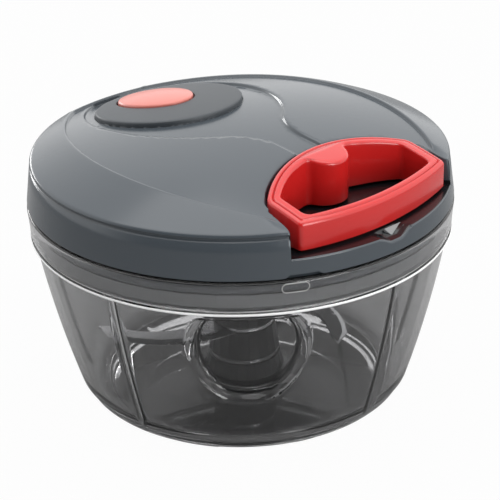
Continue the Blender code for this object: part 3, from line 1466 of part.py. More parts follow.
def blade_height(index):
    return HUB_BOTTOM + HUB_FOOT_HEIGHT + GAP + BLADE_PITCH * index


def cone_radius(height):
    """The hub's outside between the blades: a cone that widens from its neck down to its foot."""
    high = blade_height(BLADE_COUNT - 1) + BLADE_THICKNESS + GAP
    low = HUB_BOTTOM + HUB_FOOT_HEIGHT
    return HUB_RADIUS + (HUB_FOOT_RADIUS - HUB_RADIUS) * (high - height) / (high - low)


def make_hub():
    """Foot, core and head of the hub, with a bore for the bowl's pin below and a hex socket on top."""
    core_top = blade_height(BLADE_COUNT - 1) + BLADE_THICKNESS + GAP
    bore = PIN_RADIUS + SLEEVE_WALL + 2.0 * RUN_GAP
    bore_top = PIN_TOP + 2.0 * GAP
    profile = [
        (0.0, HUB_TOP),
        (HUB_HEAD_RADIUS - 0.6 * MM, HUB_TOP),
        (HUB_HEAD_RADIUS, HUB_TOP - 0.6 * MM),
        (HUB_HEAD_RADIUS, core_top + HUB_NECK + HUB_NECK_SLOPE),
        (HUB_RADIUS + 0.6 * MM, core_top + HUB_NECK),
        (HUB_RADIUS, core_top),
        (HUB_CORE_RADIUS, core_top),
        (HUB_CORE_RADIUS, HUB_BOTTOM + HUB_FOOT_HEIGHT),
        (HUB_FOOT_RADIUS, HUB_BOTTOM + HUB_FOOT_HEIGHT),
        (HUB_SKIRT_RADIUS, BOWL_INSIDE + HUB_FLOOR_GAP),
        (HUB_SKIRT_INNER, BOWL_INSIDE + HUB_FLOOR_GAP),
        (HUB_SKIRT_INNER, HUB_BOTTOM),
        (bore, HUB_BOTTOM),
        (bore, bore_top),
        (0.0, bore_top),
    ]
    hub = turned("blade_hub", profile, BLACK, 26, closed=False)
    socket = cylinder(
        "hub_socket",
        (HEX_FLATS / 2 + GAP) / math.cos(math.pi / 6),
        HEX_LOW - 0.5 * MM,
        HUB_TOP + MM,
        segments=6,
    )
    boolean(hub, socket, "DIFFERENCE")
    return hub


def make_sleeve():
    """The loose sleeve that the hub turns on; it stands on the pin's boss and lifts off with the hub."""
    inner = PIN_RADIUS + RUN_GAP
    outer = inner + SLEEVE_WALL
    low = HUB_BOTTOM
    high = PIN_TOP - 0.5 * MM
    profile = [(inner, high), (outer, high), (outer, low), (inner, low)]
    return turned("hub_sleeve", profile, ACETAL, 20)


def make_spacer(index):
    low = blade_height(index) + BLADE_THICKNESS + GAP
    high = blade_height(index + 1) - GAP
    profile = [
        (HUB_CORE_RADIUS + GAP, high),
        (cone_radius(high), high),
        (cone_radius(low), low),
        (HUB_CORE_RADIUS + GAP, low),
    ]
    return turned(f"blade_spacer_{index}", profile, BLACK, 20)


def make_pin():
    profile = [
        (0.0, PIN_TOP),
        (PIN_RADIUS - 0.4 * MM, PIN_TOP),
        (PIN_RADIUS, PIN_TOP - 0.5 * MM),
        (PIN_RADIUS, PIN_LOW),
        (0.0, PIN_LOW),
    ]
    return turned("bowl_pin", profile, STEEL, 20, closed=False)


def make_pointer():
    """A small wedge in the scoop that points down at the parting line."""
    x_out = SKIRT_TOP_RADIUS - 0.2 * MM
    x_in = x_out - POINTER_THICKNESS
    top = RECESS_FLOOR - 0.1 * MM
    low = RECESS_FLOOR - SCOOP_DEPTH + GAP
    rings = []
    for x in (x_in, x_out):
        rings.append(
            [
                Vector((x, SCOOP_PLACE - POINTER_HALF_WIDTH, top)),
                Vector((x, SCOOP_PLACE, low)),
                Vector((x, SCOOP_PLACE + POINTER_HALF_WIDTH, top)),
            ]
        )
    return loft("lid_pointer", rings, POINTER, smooth=False)


# Assembly
bowl = make_bowl()
pin = make_pin()
cover = make_cover()
base = make_base()
seal = make_seal()
handle = make_handle()
knot = make_knot()
plug = make_knot_plug()
pointer = make_pointer()
eyelet = make_eyelet()
reel = make_reel()
ratchet = make_ratchet()
make_cord()
case = make_spring_case()
spiral = make_spiral()
axle = make_axle()
drive = make_drive()
bush = make_bush()
clip = make_clip()
button = make_button()
valve = make_valve()
button_spring = make_button_spring()
hub = make_hub()
sleeve = make_sleeve()
for number in range(BLADE_COUNT):
    make_blade(number, blade_height(number), BLADE_FIRST_AZIMUTH + 120.0 * number)
for number in range(BLADE_COUNT - 1):
    make_spacer(number)
for number, ear_angle in enumerate(CASE_EAR_ANGLES):
    make_screw(
        f"case_screw_{number}", polar(CASE_EAR_PLACE, ear_angle), CASE_BOTTOM + CASE_EAR_THICKNESS + GAP, True
    )
for number, post_angle in enumerate(POST_ANGLES):
    head_low = PLUG_BOTTOM + SCREW_SINK - GAP - SCREW_HEAD_HEIGHT
    make_screw(f"cover_screw_{number}", polar(POST_PLACE, post_angle), head_low, False)
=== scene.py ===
# %% [markdown]
# # A pull-cord food chopper
# The object is a clear, tapered bowl under a low domed lid. A red D-shaped handle lies in a recess of
# the lid, and a cord joins it to a spring reel inside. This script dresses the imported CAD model: it
# keeps every size and joint, and gives each visible piece its finer form and its finish. Sizes are in
# millimetres where nothing else is said, and MM turns them into Blender's metres.

# %% Load the frame
import math

import bmesh
import bpy
import numpy as np
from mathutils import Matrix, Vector
from mathutils.geometry import delaunay_2d_cdt


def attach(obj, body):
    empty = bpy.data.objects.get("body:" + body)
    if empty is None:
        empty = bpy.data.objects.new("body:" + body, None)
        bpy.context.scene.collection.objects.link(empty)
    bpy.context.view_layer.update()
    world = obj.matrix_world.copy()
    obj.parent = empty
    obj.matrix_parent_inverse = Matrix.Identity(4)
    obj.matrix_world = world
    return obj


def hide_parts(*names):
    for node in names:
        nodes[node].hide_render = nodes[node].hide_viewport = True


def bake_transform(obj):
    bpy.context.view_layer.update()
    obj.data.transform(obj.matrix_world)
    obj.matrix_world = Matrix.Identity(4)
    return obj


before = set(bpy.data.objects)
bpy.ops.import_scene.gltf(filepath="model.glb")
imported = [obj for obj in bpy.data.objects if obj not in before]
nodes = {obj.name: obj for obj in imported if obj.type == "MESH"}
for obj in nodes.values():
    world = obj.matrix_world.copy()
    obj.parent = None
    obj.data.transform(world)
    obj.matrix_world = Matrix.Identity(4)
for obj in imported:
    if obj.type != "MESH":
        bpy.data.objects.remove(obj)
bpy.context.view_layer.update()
scene = bpy.context.scene
MM = 0.001
print("CAD nodes:", len(nodes))

# %% [markdown]
# ## Camera
# The photograph looks down on the lid from the front, with the handle towards the right. The lens is
# long, so the sides of the bowl hardly converge. The place and aim are in the object's own frame, in
# metres, and the camera is rolled by a little over a degree.

# %% Place the camera
PHOTO_WIDTH = 500.0
SENSOR_WIDTH = 36.0
LENS_PIXELS = 1686.8
CAMERA_PLACE = Vector((0.33723, -0.33254, 0.27098))
CAMERA_AIM = Vector((0.00177, 0.00180, 0.04268))
CAMERA_ROLL = -0.0220

camera_data = bpy.data.cameras.new("camera")
camera_data.sensor_width = SENSOR_WIDTH
camera_data.lens = SENSOR_WIDTH * LENS_PIXELS / PHOTO_WIDTH
camera_data.clip_start = 0.01
camera = bpy.data.objects.new("camera", camera_data)
scene.collection.objects.link(camera)
camera.location = CAMERA_PLACE
look = (CAMERA_AIM - CAMERA_PLACE).to_track_quat("-Z", "Y").to_matrix()
camera.rotation_euler = look.to_euler()
camera.rotation_euler.rotate_axis("Z", CAMERA_ROLL)
scene.camera = camera
print("lens:", round(camera_data.lens, 1), "mm")

# %% [markdown]
# ## Shader maths
# A material's pattern is a sum of small steps, such as noise times a mask. One small class lets these
# be written as ordinary Python sums: it wraps a socket, and each operator adds a Math node.


# %% Sockets that can be added and multiplied
class Wire:
    """A number that comes out of a shader node."""

    def __init__(self, paint, socket):
        self.paint = paint
        self.socket = socket

    def maths(self, operation, first, second):
        return self.paint.node("Math", {"operation": operation}, {0: first, 1: second})

    def __add__(self, other):
        return self.maths("ADD", self, other)

    __radd__ = __add__

    def __sub__(self, other):
        return self.maths("SUBTRACT", self, other)

    def __rsub__(self, other):
        return self.maths("SUBTRACT", other, self)

    def __mul__(self, other):
        return self.maths("MULTIPLY", self, other)

    __rmul__ = __mul__

    def __gt__(self, other):
        return self.maths("GREATER_THAN", self, other)

    def __lt__(self, other):
        return self.maths("LESS_THAN", self, other)

    def larger(self, other):
        return self.maths("MAXIMUM", self, other)


# %% [markdown]
# ## A material as one object
# Node links written out one by one hide what a finish is. This class holds a material's tree: one method
# makes any node from its type, its settings and the values of its sockets, and the others are named
# after what a finish needs, such as noise, a bump or another shader laid over the first.


# %% Materials
def spaced(sockets):
    """Socket names as Blender writes them, from Python's keyword names."""
    return {key.replace("_", " "): value for key, value in sockets.items()}


class Paint:
    """One material. Its shader is a Principled BSDF whose sockets are set by name."""

    def __init__(self, name, **sockets):
        self.material = bpy.data.materials.new(name)
        self.material.use_nodes = True
        self.tree = self.material.node_tree
        self.shader = self.tree.nodes["Principled BSDF"]
        self.set(self.shader, spaced(sockets))

    def set(self, node, values):
        for key, value in values.items():
            target = node.inputs[key]
            if isinstance(value, Wire):
                self.tree.links.new(value.socket, target)
            elif isinstance(value, tuple) and len(value) == 3 and target.type == "RGBA":
                target.default_value = (*value, 1.0)
            else:
                target.default_value = value

    def node(self, kind, settings=None, values=None, out=0):
        made = self.tree.nodes.new("ShaderNode" + kind)
        for key, value in (settings or {}).items():
            setattr(made, key, value)
        self.set(made, values or {})
        return Wire(self, made.outputs[out])

    def place(self):
        """The piece's own coordinates, in metres."""
        return self.node("TexCoord", out="Object")

    def along(self, axis):
        """One of the piece's own coordinates: 0 is x, 2 is the height."""
        return self.node("SeparateXYZ", {}, {0: self.place()}, out=axis)

    def noise(self, scale, detail=3.0, roughness=0.5, at=None):
        values = {"Vector": at or self.place(), "Scale": scale, "Detail": detail, "Roughness": roughness}
        return self.node("TexNoise", {}, values)

    def blend(self, share, first, second):
        """A colour between two others."""
        return self.node("Mix", {"data_type": "RGBA"}, {0: share, 6: first, 7: second}, out=2)

    def bump(self, height, strength, distance):
        return self.node("Bump", {}, {"Height": height, "Strength": strength, "Distance": distance})

    def over(self, share, second):
        """Mixes another shader over this material's own one."""
        mixer = self.node("MixShader", {}, {0: share}).socket.node
        self.tree.links.new(self.shader.outputs[0], mixer.inputs[1])
        self.tree.links.new(second.socket, mixer.inputs[2])
        self.tree.links.new(mixer.outputs[0], self.tree.nodes["Material Output"].inputs["Surface"])

    def finish(self, **sockets):
        self.set(self.shader, spaced(sockets))
        return self.material


def darker(colour, share):
    """A colour times a share."""
    return tuple(share * channel for channel in colour)


# %% [markdown]
# ## Matt and shaded patches of the lid
# On the real lid the button's platform has a matt texture from the mould, and the recess's floor and the
# rebate under the skirt see little light, so their colour is darkened almost to black as painted shade.
# The patches could be pieces of their own, but the lid is one moulding, so masks worked out from its
# coordinates choose where its finish changes and where the shade is painted.

# %% Masks on the lid
PLATFORM = (-31.2, 23.9, 22.6)
PLATFORM_FADE = (1.018, 1.006)
SHADED_FLOOR = (28.0, 64.0, 70.8)
SHADED_REBATE = (64.7, 64.36)


def within_oval(paint, centre, length, width):
    """1 inside an oval of the plan, 0 outside it."""
    scale = (1.0 / (length * MM), 1.0 / (width * MM), 0.0)
    settings = {"Vector": paint.place(), "Location": (-centre / length, 0.0, 0.0), "Scale": scale}
    spot = paint.node("Mapping", {}, settings)
    reach = paint.node("VectorMath", {"operation": "LENGTH"}, {0: spot}, out=1)
    start, end = PLATFORM_FADE
    return paint.node("MapRange", {}, {"Value": reach, 1: start, 2: end, 3: 0.0, 4: 1.0})


def in_shadow(paint):
    """1 on the floor of the handle's recess and in the rebate under the skirt, where shade is painted, 0
    elsewhere.
    """
    flat = paint.node("VectorMath", {"operation": "MULTIPLY"}, {0: paint.place(), 1: (1.0, 1.0, 0.0)})
    reach = paint.node("VectorMath", {"operation": "LENGTH"}, {0: flat}, out=1)
    x, z = paint.along(0), paint.along(2)
    start, end, top = SHADED_FLOOR
    floor = (z < top * MM) * (x > start * MM) * (reach < end * MM)
    inside, low = SHADED_REBATE
    return floor.larger((z < low * MM) * (reach < inside * MM))


# %% [markdown]
# ## Plastics
# Moulded plastic is never one flat tone. Its skin is a very fine matt texture from the mould, its gloss
# changes softly over large areas, and its colour varies by a few parts in a hundred. Noise at two scales
# gives these: clouds move the colour and the gloss, and a fine grain adds a faint bump.

# %% Moulded plastic
CLOUDS = 38.0
GRAIN = 2600.0
GRAIN_DEPTH = 0.00006


def moulded(name, colour, roughness, grain=0.12, tone=0.05, spread=0.05, coat=0.0, matt=None):
    paint = Paint(name, IOR=1.5, Coat_Weight=coat, Coat_Roughness=0.12)
    clouds = paint.noise(CLOUDS, 3.0)
    fine = paint.noise(GRAIN, 2.0, 0.6)
    lighter = tuple(min(1.0, channel * (1.0 + tone)) for channel in colour)
    shade = paint.blend(clouds, darker(colour, 1.0 - tone), lighter)
    gloss = clouds * (2.0 * spread) + fine * spread + (roughness - 1.5 * spread)
    if matt:
        oval = within_oval(paint, *matt)
        gloss = gloss + oval * 0.3
        shade = paint.blend(oval, shade, darker(colour, 0.62))
        # Painted shade: the recess's floor and the rebate under the skirt are darkened almost to black.
        shade = paint.blend(in_shadow(paint), shade, darker(colour, 0.12))
    return paint.finish(Base_Color=shade, Roughness=gloss, Normal=paint.bump(fine, grain, GRAIN_DEPTH))


slate_look = {"grain": 0.08, "tone": 0.04, "spread": 0.03, "matt": PLATFORM}
slate = moulded("slate_plastic", (0.050, 0.060, 0.070), 0.2, **slate_look)
ash = moulded("ash_plastic", (0.27, 0.275, 0.28), 0.4, grain=0.2)
red = moulded("red_plastic", (0.50, 0.014, 0.013), 0.22, grain=0.04, coat=0.25)
coral = moulded("coral_plastic", (0.53, 0.155, 0.125), 0.3, grain=0.1)
black = moulded("black_plastic", (0.008, 0.008, 0.009), 0.3, grain=0.1)
acetal = moulded("white_acetal", (0.70, 0.70, 0.67), 0.38, grain=0.08)
pale = moulded("pale_grey_plastic", (0.22, 0.225, 0.23), 0.3, grain=0.1)
# A light grey for the lock mark's bead: a painted highlight.
painted_highlight = moulded("painted_highlight_edge", (0.38, 0.38, 0.38), 0.35, grain=0.1)
silicone = moulded("grey_silicone", (0.17, 0.18, 0.19), 0.62, grain=0.3)
print("moulded finishes:", slate.name, ash.name, red.name, coral.name, "and five more")

# %% [markdown]
# ## Clear plastic
# The bowl is tinted, smoky clear plastic. Light passes two walls, so the tint is set on the base colour
# of a fully transmissive shader. The roughness is low and moves a little, as handling marks do. The
# collar is less tinted. The rounded ridge at its foot has a painted highlight: a nearly white tint and a
# white shader mixed in draw a white line. The gap under the lid's skirt is painted almost black as
# painted shade. Each is a band of heights.

# %% Smoky clear plastic
COLLAR_FOOT = 54.8
RIDGE = (53.0, 54.9)
RIDGE_GLINT = (53.25, 54.2)
PARTING_GAP = (63.12, 64.1)


def between(height, band):
    """1 where a height lies in a band, 0 elsewhere."""
    return (height > band[0] * MM) * (height < band[1] * MM)


def clear(name, tint, roughness):
    paint = Paint(name, IOR=1.47, Transmission_Weight=1.0)
    haze = paint.noise(60.0, 4.0)
    swirl = paint.noise(14.0, 2.0)
    height = paint.along(2)
    shade = paint.blend(swirl, darker(tint, 0.97), tint)
    shade = paint.blend(height > COLLAR_FOOT * MM, shade, darker(tint, 1.22))
    # Painted highlight: the ridge's band is tinted nearly white.
    shade = paint.blend(between(height, RIDGE), shade, (0.98, 0.98, 0.98))
    # Painted shade: the band of the gap under the lid's skirt is tinted almost black.
    shade = paint.blend(between(height, PARTING_GAP), shade, (0.01, 0.01, 0.01))
    # Painted highlight: a white shader is mixed over the middle of the ridge and draws a white line.
    white = paint.node("BsdfPrincipled", {}, {"Base Color": (0.95, 0.95, 0.95), "Roughness": 0.4})
    paint.over(between(height, RIDGE_GLINT) * 0.95, white)
    gloss = haze * 0.03 + roughness
    return paint.finish(Base_Color=shade, Roughness=gloss, Normal=paint.bump(swirl, 0.05, 0.0004))


smoky = clear("smoky_clear_plastic", (0.62, 0.62, 0.625), 0.015)
print("clear finish:", smoky.name)

# %% [markdown]
# ## Metals
# The blades are ground stainless steel, with fine scratches along the sheet. Stretching the noise in one
# direction makes the scratches; they move the roughness and a very slight bump.


# %% Ground metal
def ground(name, colour, roughness, stretch):
    paint = Paint(name, Metallic=1.0)
    stretched = paint.node("Mapping", {}, {"Vector": paint.place(), "Scale": stretch})
    lines = paint.noise(1.0, 2.0, 0.6, stretched)
    clouds = paint.noise(70.0, 3.0)
    shade = paint.blend(clouds, darker(colour, 0.93), colour)
    gloss = lines * 0.16 + clouds * 0.06 + (roughness - 0.1)
    return paint.finish(Base_Color=shade, Roughness=gloss, Normal=paint.bump(lines, 0.12, 0.00004))


steel = ground("ground_stainless_steel", (0.66, 0.66, 0.67), 0.24, (120.0, 120.0, 2400.0))
spring_steel = ground("spring_steel", (0.36, 0.36, 0.38), 0.3, (90.0, 90.0, 1500.0))
brass = ground("turned_brass", (0.66, 0.47, 0.2), 0.28, (60.0, 60.0, 2500.0))
print("metals:", steel.name, spring_steel.name, brass.name)

# %% [markdown]
# ## Braided cord
# A braid shows as two sets of slanting strands. Two waves along the cord, one leaning each way, make the
# strands, and the larger of the two at a point is the strand on top.


# %% Cord
def braid(name, colour):
    paint = Paint(name, Roughness=0.82, Sheen_Weight=0.3)
    flipped = paint.node("Mapping", {}, {"Vector": paint.place(), "Scale": (1.0, -1.0, 1.0)})
    wave = {"wave_type": "BANDS", "bands_direction": "DIAGONAL", "wave_profile": "SIN"}
    leaning = []
    for place in (paint.place(), flipped):
        values = {"Vector": place, "Scale": 420.0, "Distortion": 0.4}
        leaning.append(paint.node("TexWave", wave, values, out=1))
    strands = leaning[0].larger(leaning[1])
    shade = paint.blend(strands, darker(colour, 0.6), colour)
    return paint.finish(Base_Color=shade, Normal=paint.bump(strands, 0.6, 0.0001))


cord_paint = braid("white_braid", (0.72, 0.71, 0.67))
print("cord finish:", cord_paint.name)

# %% [markdown]
# ## Giving each CAD node its finish
# The nodes that stay as they are get a material here. Pieces that are made anew below take the same ones.

# %% Finish of every node
FINISH = {
    slate: "lid_cover",
    ash: "lid_base",
    red: "handle knot_plug",
    coral: "button",
    smoky: "bowl",
    black: "spring_case drive_disc blade_hub blade_spacer_0 blade_spacer_1",
    acetal: "cord_reel hub_sleeve",
    pale: "lid_pointer",
    silicone: "lid_seal vent_valve",
    brass: "shaft_bush",
    spring_steel: "ratchet_wheel return_spring button_spring",
    cord_paint: "cord_knot cord_wound cord_lead cord_stub",
    steel: "bowl_pin cord_eyelet reel_axle shaft_clip blade_0 blade_1 blade_2 case_screw_0 case_screw_1 "
    "case_screw_2 cover_screw_0 cover_screw_1 cover_screw_2 cover_screw_3",
}
for paint, names in FINISH.items():
    for name in names.split():
        data = nodes[name].data
        data.materials.clear()
        data.materials.append(paint)
print("nodes with a finish:", sum(len(names.split()) for names in FINISH.values()))

# %% [markdown]
# ## Making a mesh from numbers
# The main pieces follow rules, so their points are worked out as arrays in millimetres and turned into a
# mesh in one go. Smooth shading hides the small facets, only edges of about a right angle stay sharp,
# and the faces are made to point outwards.

# %% From arrays to a piece
SHARP_FROM = 89.4


def closed_mesh(name, points, faces):
    """A smooth mesh whose doubles are merged and whose faces point outwards."""
    mesh = bpy.data.meshes.new(name)
    mesh.from_pydata([tuple(p) for p in np.asarray(points) * MM], [], [tuple(f) for f in faces])
    mesh.validate()
    build = bmesh.new()
    build.from_mesh(mesh)
    bmesh.ops.remove_doubles(build, verts=build.verts, dist=1e-7)
    bmesh.ops.recalc_face_normals(build, faces=build.faces)
    build.to_mesh(mesh)
    build.free()
    mesh.shade_smooth()
    return mesh


def carried(name, mesh, body, replaced=()):
    """Hands a finished mesh over to one body; when body is not a name, its transform is only baked in."""
    made = bpy.data.objects.new(name, mesh)
    scene.collection.objects.link(made)
    if isinstance(body, str):
        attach(made, body)
    else:
        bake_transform(made)
    if replaced:
        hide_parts(*replaced)
    print(f"{name}: {len(mesh.polygons)} faces")


def piece(name, points, faces, paint, body, replaced):
    """A mesh from points and faces, painted and handed over."""
    mesh = closed_mesh(name, points, faces)
    mesh.materials.append(paint)
    mesh.set_sharp_from_angle(angle=math.radians(SHARP_FROM))
    carried(name, mesh, body, replaced)


# %% [markdown]
# ## Skins and rounded edges
# A turned or drawn piece is a stack of rings with equal counts of points, and a skin of four-sided faces
# joins them. A rounded edge is a few rings on a quarter circle: each comes in a little and drops a
# little, so one list of these two shares serves every edge.


# %% Rings and quarter circles
def joined_rings(rings, closed=False, capped=False):
    """Points and faces of a skin over rings with equal counts."""
    count = len(rings[0])
    points = np.concatenate([np.asarray(ring, float) for ring in rings])
    faces = []
    for row in range(len(rings) if closed else len(rings) - 1):
        low = row * count
        high = ((row + 1) % len(rings)) * count
        for i in range(count):
            j = (i + 1) % count
            faces.append((low + i, low + j, high + j, high + i))
    if capped:
        faces.append(tuple(range(count))[::-1])
        faces.append(tuple(range((len(rings) - 1) * count, len(rings) * count)))
    return points, faces


def quarter(*degrees):
    """How far a rounded edge has come in and dropped at each angle, as shares of its radius."""
    return [(1.0 - math.cos(math.radians(d)), 1.0 - math.sin(math.radians(d))) for d in degrees]


def round_ring(radius, z, turn):
    """A ring round the axis through directions in radians; radius and height may vary along it."""
    return np.stack([radius * np.cos(turn), radius * np.sin(turn), z + 0.0 * turn], -1)


print("halfway round an edge:", [round(share, 3) for share in quarter(45.0)[0]])

# %% [markdown]
# ## The lid's top
# The lid is one moulding with soft steps: a sloping shoulder round the edge, a sunk keyhole-shaped
# valley, a round platform for the button, and a deep recess for the handle. A height field suits it.
# Each step is a distance from a drawn outline, and the height follows from these distances, so that
# every edge gets its own small rounding. The plan is then triangulated with the outlines as fixed
# edges, which keeps the steps crisp with few faces in between.

# %% Sizes of the lid
SKIRT_BOTTOM = 64.4
SKIRT_TOP = 77.4
SKIRT_OUTER = 65.0
SKIRT_RIM = 63.3
RIM_REACH = 62.1
DOME = (86.9, 0.002615, 0.00177)
BUTTON = (-37.2, 13.5, 10.45)
BUTTON_GAP = 0.5
BUTTON_HOLE = (BUTTON[0], BUTTON[1] + BUTTON_GAP, BUTTON[2] + BUTTON_GAP)
HOLE_ROUNDING = 0.3
PLATFORM_RISE = 0.7
PLATFORM_ROUNDING = 0.8
KEYHOLE_WIDE = ((-25.0, -14.0), 41.3)
KEYHOLE_HOLLOW = ((22.5, 26.3), 21.0)
KEYHOLE_NECK = (5.3, 29.0)
VALLEY_DEPTH = 0.95
SHOULDER_ARC = ((3.4, -30.0), 77.5)
SHOULDER_REACH = 61.8
SHOULDER_RISE = 1.0
SHOULDER_BULGE = 0.12
BACK_ARC = (75.5, 46.0)
RECESS_FLOOR = 69.7
RECESS_SIDE = 31.6
RECESS_FLARE = (1.3, 1.1)
RECESS_BACK = 0.9
RECESS_CORNER = 5.2
RECESS_WALL = -0.03
RECESS_ROUNDING = 0.55
SCOOP = (-2.2, 1.6, 6.4)
SCOOP_START = (58.9, 59.9)


def dome(x, y):
    return DOME[0] - DOME[1] * x * x - DOME[2] * y * y


def smooth(low, high, value):
    """0 below low and 1 above high, with a soft step between; low may be the larger one."""
    t = np.clip((value - low) / (high - low), 0.0, 1.0)
    return t * t * (3.0 - 2.0 * t)


print("lid:", 2 * SKIRT_OUTER, "mm across, dome", DOME[0], "mm up")

# %% [markdown]
# ## Distances from the outlines
# A step in a moulding runs along a drawn line. If a function tells how far a point of the plan is from
# that line, below zero inside it, then the height near the line is a rule of one number. Arcs and
# straight lines have simple distances, and an oval's is close enough near its edge.


# %% Distance functions
def from_oval(x, y, centre, length, width):
    dx = x - centre
    k = np.hypot(dx / length, y / width)
    slope = np.hypot(dx / length**2, y / width**2)
    return (k - 1.0) * k / np.maximum(slope, 1e-9)


def from_valley(x, y):
    """Below 0 inside the keyhole: a wide arc, then a hollow arc into the neck, then a straight neck."""
    y = np.abs(y)
    (wide_x, wide_y), wide_radius = KEYHOLE_WIDE
    (hollow_x, hollow_y), hollow_radius = KEYHOLE_HOLLOW
    wide = np.hypot(x - wide_x, y - wide_y) - wide_radius
    hollow = hollow_radius - np.hypot(x - hollow_x, y - hollow_y)
    on_wide = (x - wide_x) * (hollow_y - wide_y) < (y - wide_y) * (hollow_x - wide_x)
    return np.where(on_wide, wide, np.where(x < hollow_x, hollow, y - KEYHOLE_NECK[0]))


def from_shoulder(x, y):
    """Below 0 inside the shoulder's inner edge."""
    (arc_x, arc_y), radius = SHOULDER_ARC
    return np.maximum(np.hypot(x - arc_x, np.abs(y) - arc_y) - radius, np.hypot(x, y) - SHOULDER_REACH)


def recess_side(x):
    return RECESS_SIDE + RECESS_FLARE[0] * smooth(39.0, 46.0, x) + RECESS_FLARE[1] * smooth(49.0, 55.0, x)


def from_recess(x, y):
    back = np.hypot(x - BACK_ARC[0], y) - (BACK_ARC[1] + RECESS_BACK) + RECESS_CORNER
    side = np.abs(y) - recess_side(x) + RECESS_CORNER
    outside = np.hypot(np.maximum(back, 0.0), np.maximum(side, 0.0))
    return np.minimum(np.maximum(back, side), 0.0) + outside - RECESS_CORNER


print("from the axis to the recess:", round(float(from_recess(0.0, 0.0)), 2), "mm")

# %% [markdown]
# ## The height of the lid's top
# Each distance becomes a height: a soft step for the valley, the platform and the shoulder, a plain
# drop into the recess, and a small rounding along each upper edge. The shoulder is a slope between the
# skirt's rim and the dome, so it needs the distance from the axis to its inner edge in each direction.


# %% Heights from the distances
def edge_round(distance, radius):
    """How far a rounded edge drops, at this distance from the edge."""
    t = np.clip((radius - distance) / radius, 0.0, 1.0)
    return radius * (1.0 - np.sqrt(1.0 - t * t))


def shoulder_edge(x, y):
    """The distance from the axis to the shoulder's inner edge, in this direction."""
    (arc_x, arc_y), radius = SHOULDER_ARC
    reach = np.maximum(np.hypot(x, y), 1e-6)
    b = -(np.abs(y) * arc_y + x * arc_x) / reach
    c = arc_x**2 + arc_y**2 - radius**2
    return np.minimum(-b + np.sqrt(b * b - c), SHOULDER_REACH)


def shoulder_slope(x, y, fade):
    """The slope from the skirt's rim up to the shoulder's step, which fades out near the recess."""
    reach = np.hypot(x, y)
    edge = shoulder_edge(x, y)
    share = np.clip((SKIRT_RIM - reach) / (SKIRT_RIM - edge), 0.0, 1.0)
    scale = edge / np.maximum(reach, 1e-6)
    inner = dome(x * scale, y * scale) + SHOULDER_RISE * fade
    return SKIRT_TOP + (inner - SKIRT_TOP) * (share + SHOULDER_BULGE * share * (1.0 - share))


def scoop_share(y):
    """1 in the middle of the scoop below the handle, 0 beside it."""
    return smooth(SCOOP[2], SCOOP[1], np.abs(y - SCOOP[0]))


def lid_height(x, y):
    height = dome(x, y) - VALLEY_DEPTH * smooth(0.15, -0.55, from_valley(x, y))
    platform = from_oval(x, y, *PLATFORM)
    rise = (VALLEY_DEPTH + PLATFORM_RISE) * smooth(0.05, -0.12, platform)
    height = height + rise - edge_round(-platform, PLATFORM_ROUNDING) * (platform < 0.0)
    recess = from_recess(x, y)
    fade = smooth(0.0, 5.0, recess)
    shoulder = from_shoulder(x, y)
    over = smooth(-0.3, 0.0, shoulder)
    slope = shoulder_slope(x, y, fade) - 0.7 * edge_round(shoulder, 1.0) * fade
    height = np.where(shoulder > -0.42, height * (1.0 - over) + slope * over, height)
    height = height - edge_round(from_oval(x, y, *BUTTON_HOLE), HOLE_ROUNDING)
    height = height - edge_round(recess, RECESS_ROUNDING) * (recess > RECESS_WALL)
    scoop = (1.0 + 0.4 * (x - 60.0)) * scoop_share(y) * smooth(*SCOOP_START, x)
    return np.where(recess < RECESS_WALL, RECESS_FLOOR - scoop, height)


print("platform beside the button:", round(float(lid_height(PLATFORM[0] + 20.0, 0.0)), 2), "mm up")

# %% [markdown]
# ## Outlines as lines in the plan
# The same outlines are needed as chains of points, so that edges of the mesh run along every step. Each
# outline can be drawn again a little further out or in. The count of its points stays the same, so
# neighbouring rows line up and the faces between them are even.


# %% Lines of points
def arc(centre, radius, start, end, step=0.9, grow=0.0):
    """An arc whose count of points doesn't change with grow, so that rows beside it line up."""
    count = max(3, int(abs(math.radians(end - start)) * radius / step) + 1)
    angle = np.radians(np.linspace(start, end, count))
    reach = radius + grow
    return np.stack([centre[0] + reach * np.cos(angle), centre[1] + reach * np.sin(angle)], -1)


def oval_line(centre, length, width, grow, count):
    angle = np.linspace(0.0, 2.0 * math.pi, count, endpoint=False)
    point = np.stack([length * np.cos(angle), width * np.sin(angle)], -1)
    normal = np.stack([np.cos(angle) / length, np.sin(angle) / width], -1)
    normal /= np.linalg.norm(normal, axis=1)[:, None]
    return point + normal * grow + np.array([centre, 0.0])


def valley_line(grow):
    """The keyhole's edge for y above 0, from the back to the handle."""
    (wide_x, wide_y), wide_radius = KEYHOLE_WIDE
    (hollow_x, hollow_y), hollow_radius = KEYHOLE_HOLLOW
    half, end = KEYHOLE_NECK
    meet = math.degrees(math.atan2(hollow_y - wide_y, hollow_x - wide_x))
    wide = arc((wide_x, wide_y), wide_radius, 160.0, meet, 0.7, grow)
    hollow = arc((hollow_x, hollow_y), hollow_radius, meet + 180.0, 270.0, 0.7, -grow)
    neck = np.stack([np.linspace(hollow_x, end, 7)[1:], np.full(6, half + grow)], -1)
    return np.concatenate([wide, hollow[1:], neck])


def shoulder_line(grow):
    """The shoulder's inner edge for y above 0, from the recess to the back."""
    side = arc(*SHOULDER_ARC, 50.0, 152.0, 0.8, grow)
    side = side[np.hypot(side[:, 0], side[:, 1]) < SHOULDER_REACH + grow]
    last = math.degrees(math.atan2(side[-1, 1], side[-1, 0]))
    return np.concatenate([side, arc((0.0, 0.0), SHOULDER_REACH, last, 180.0, 0.8, grow)[1:]])


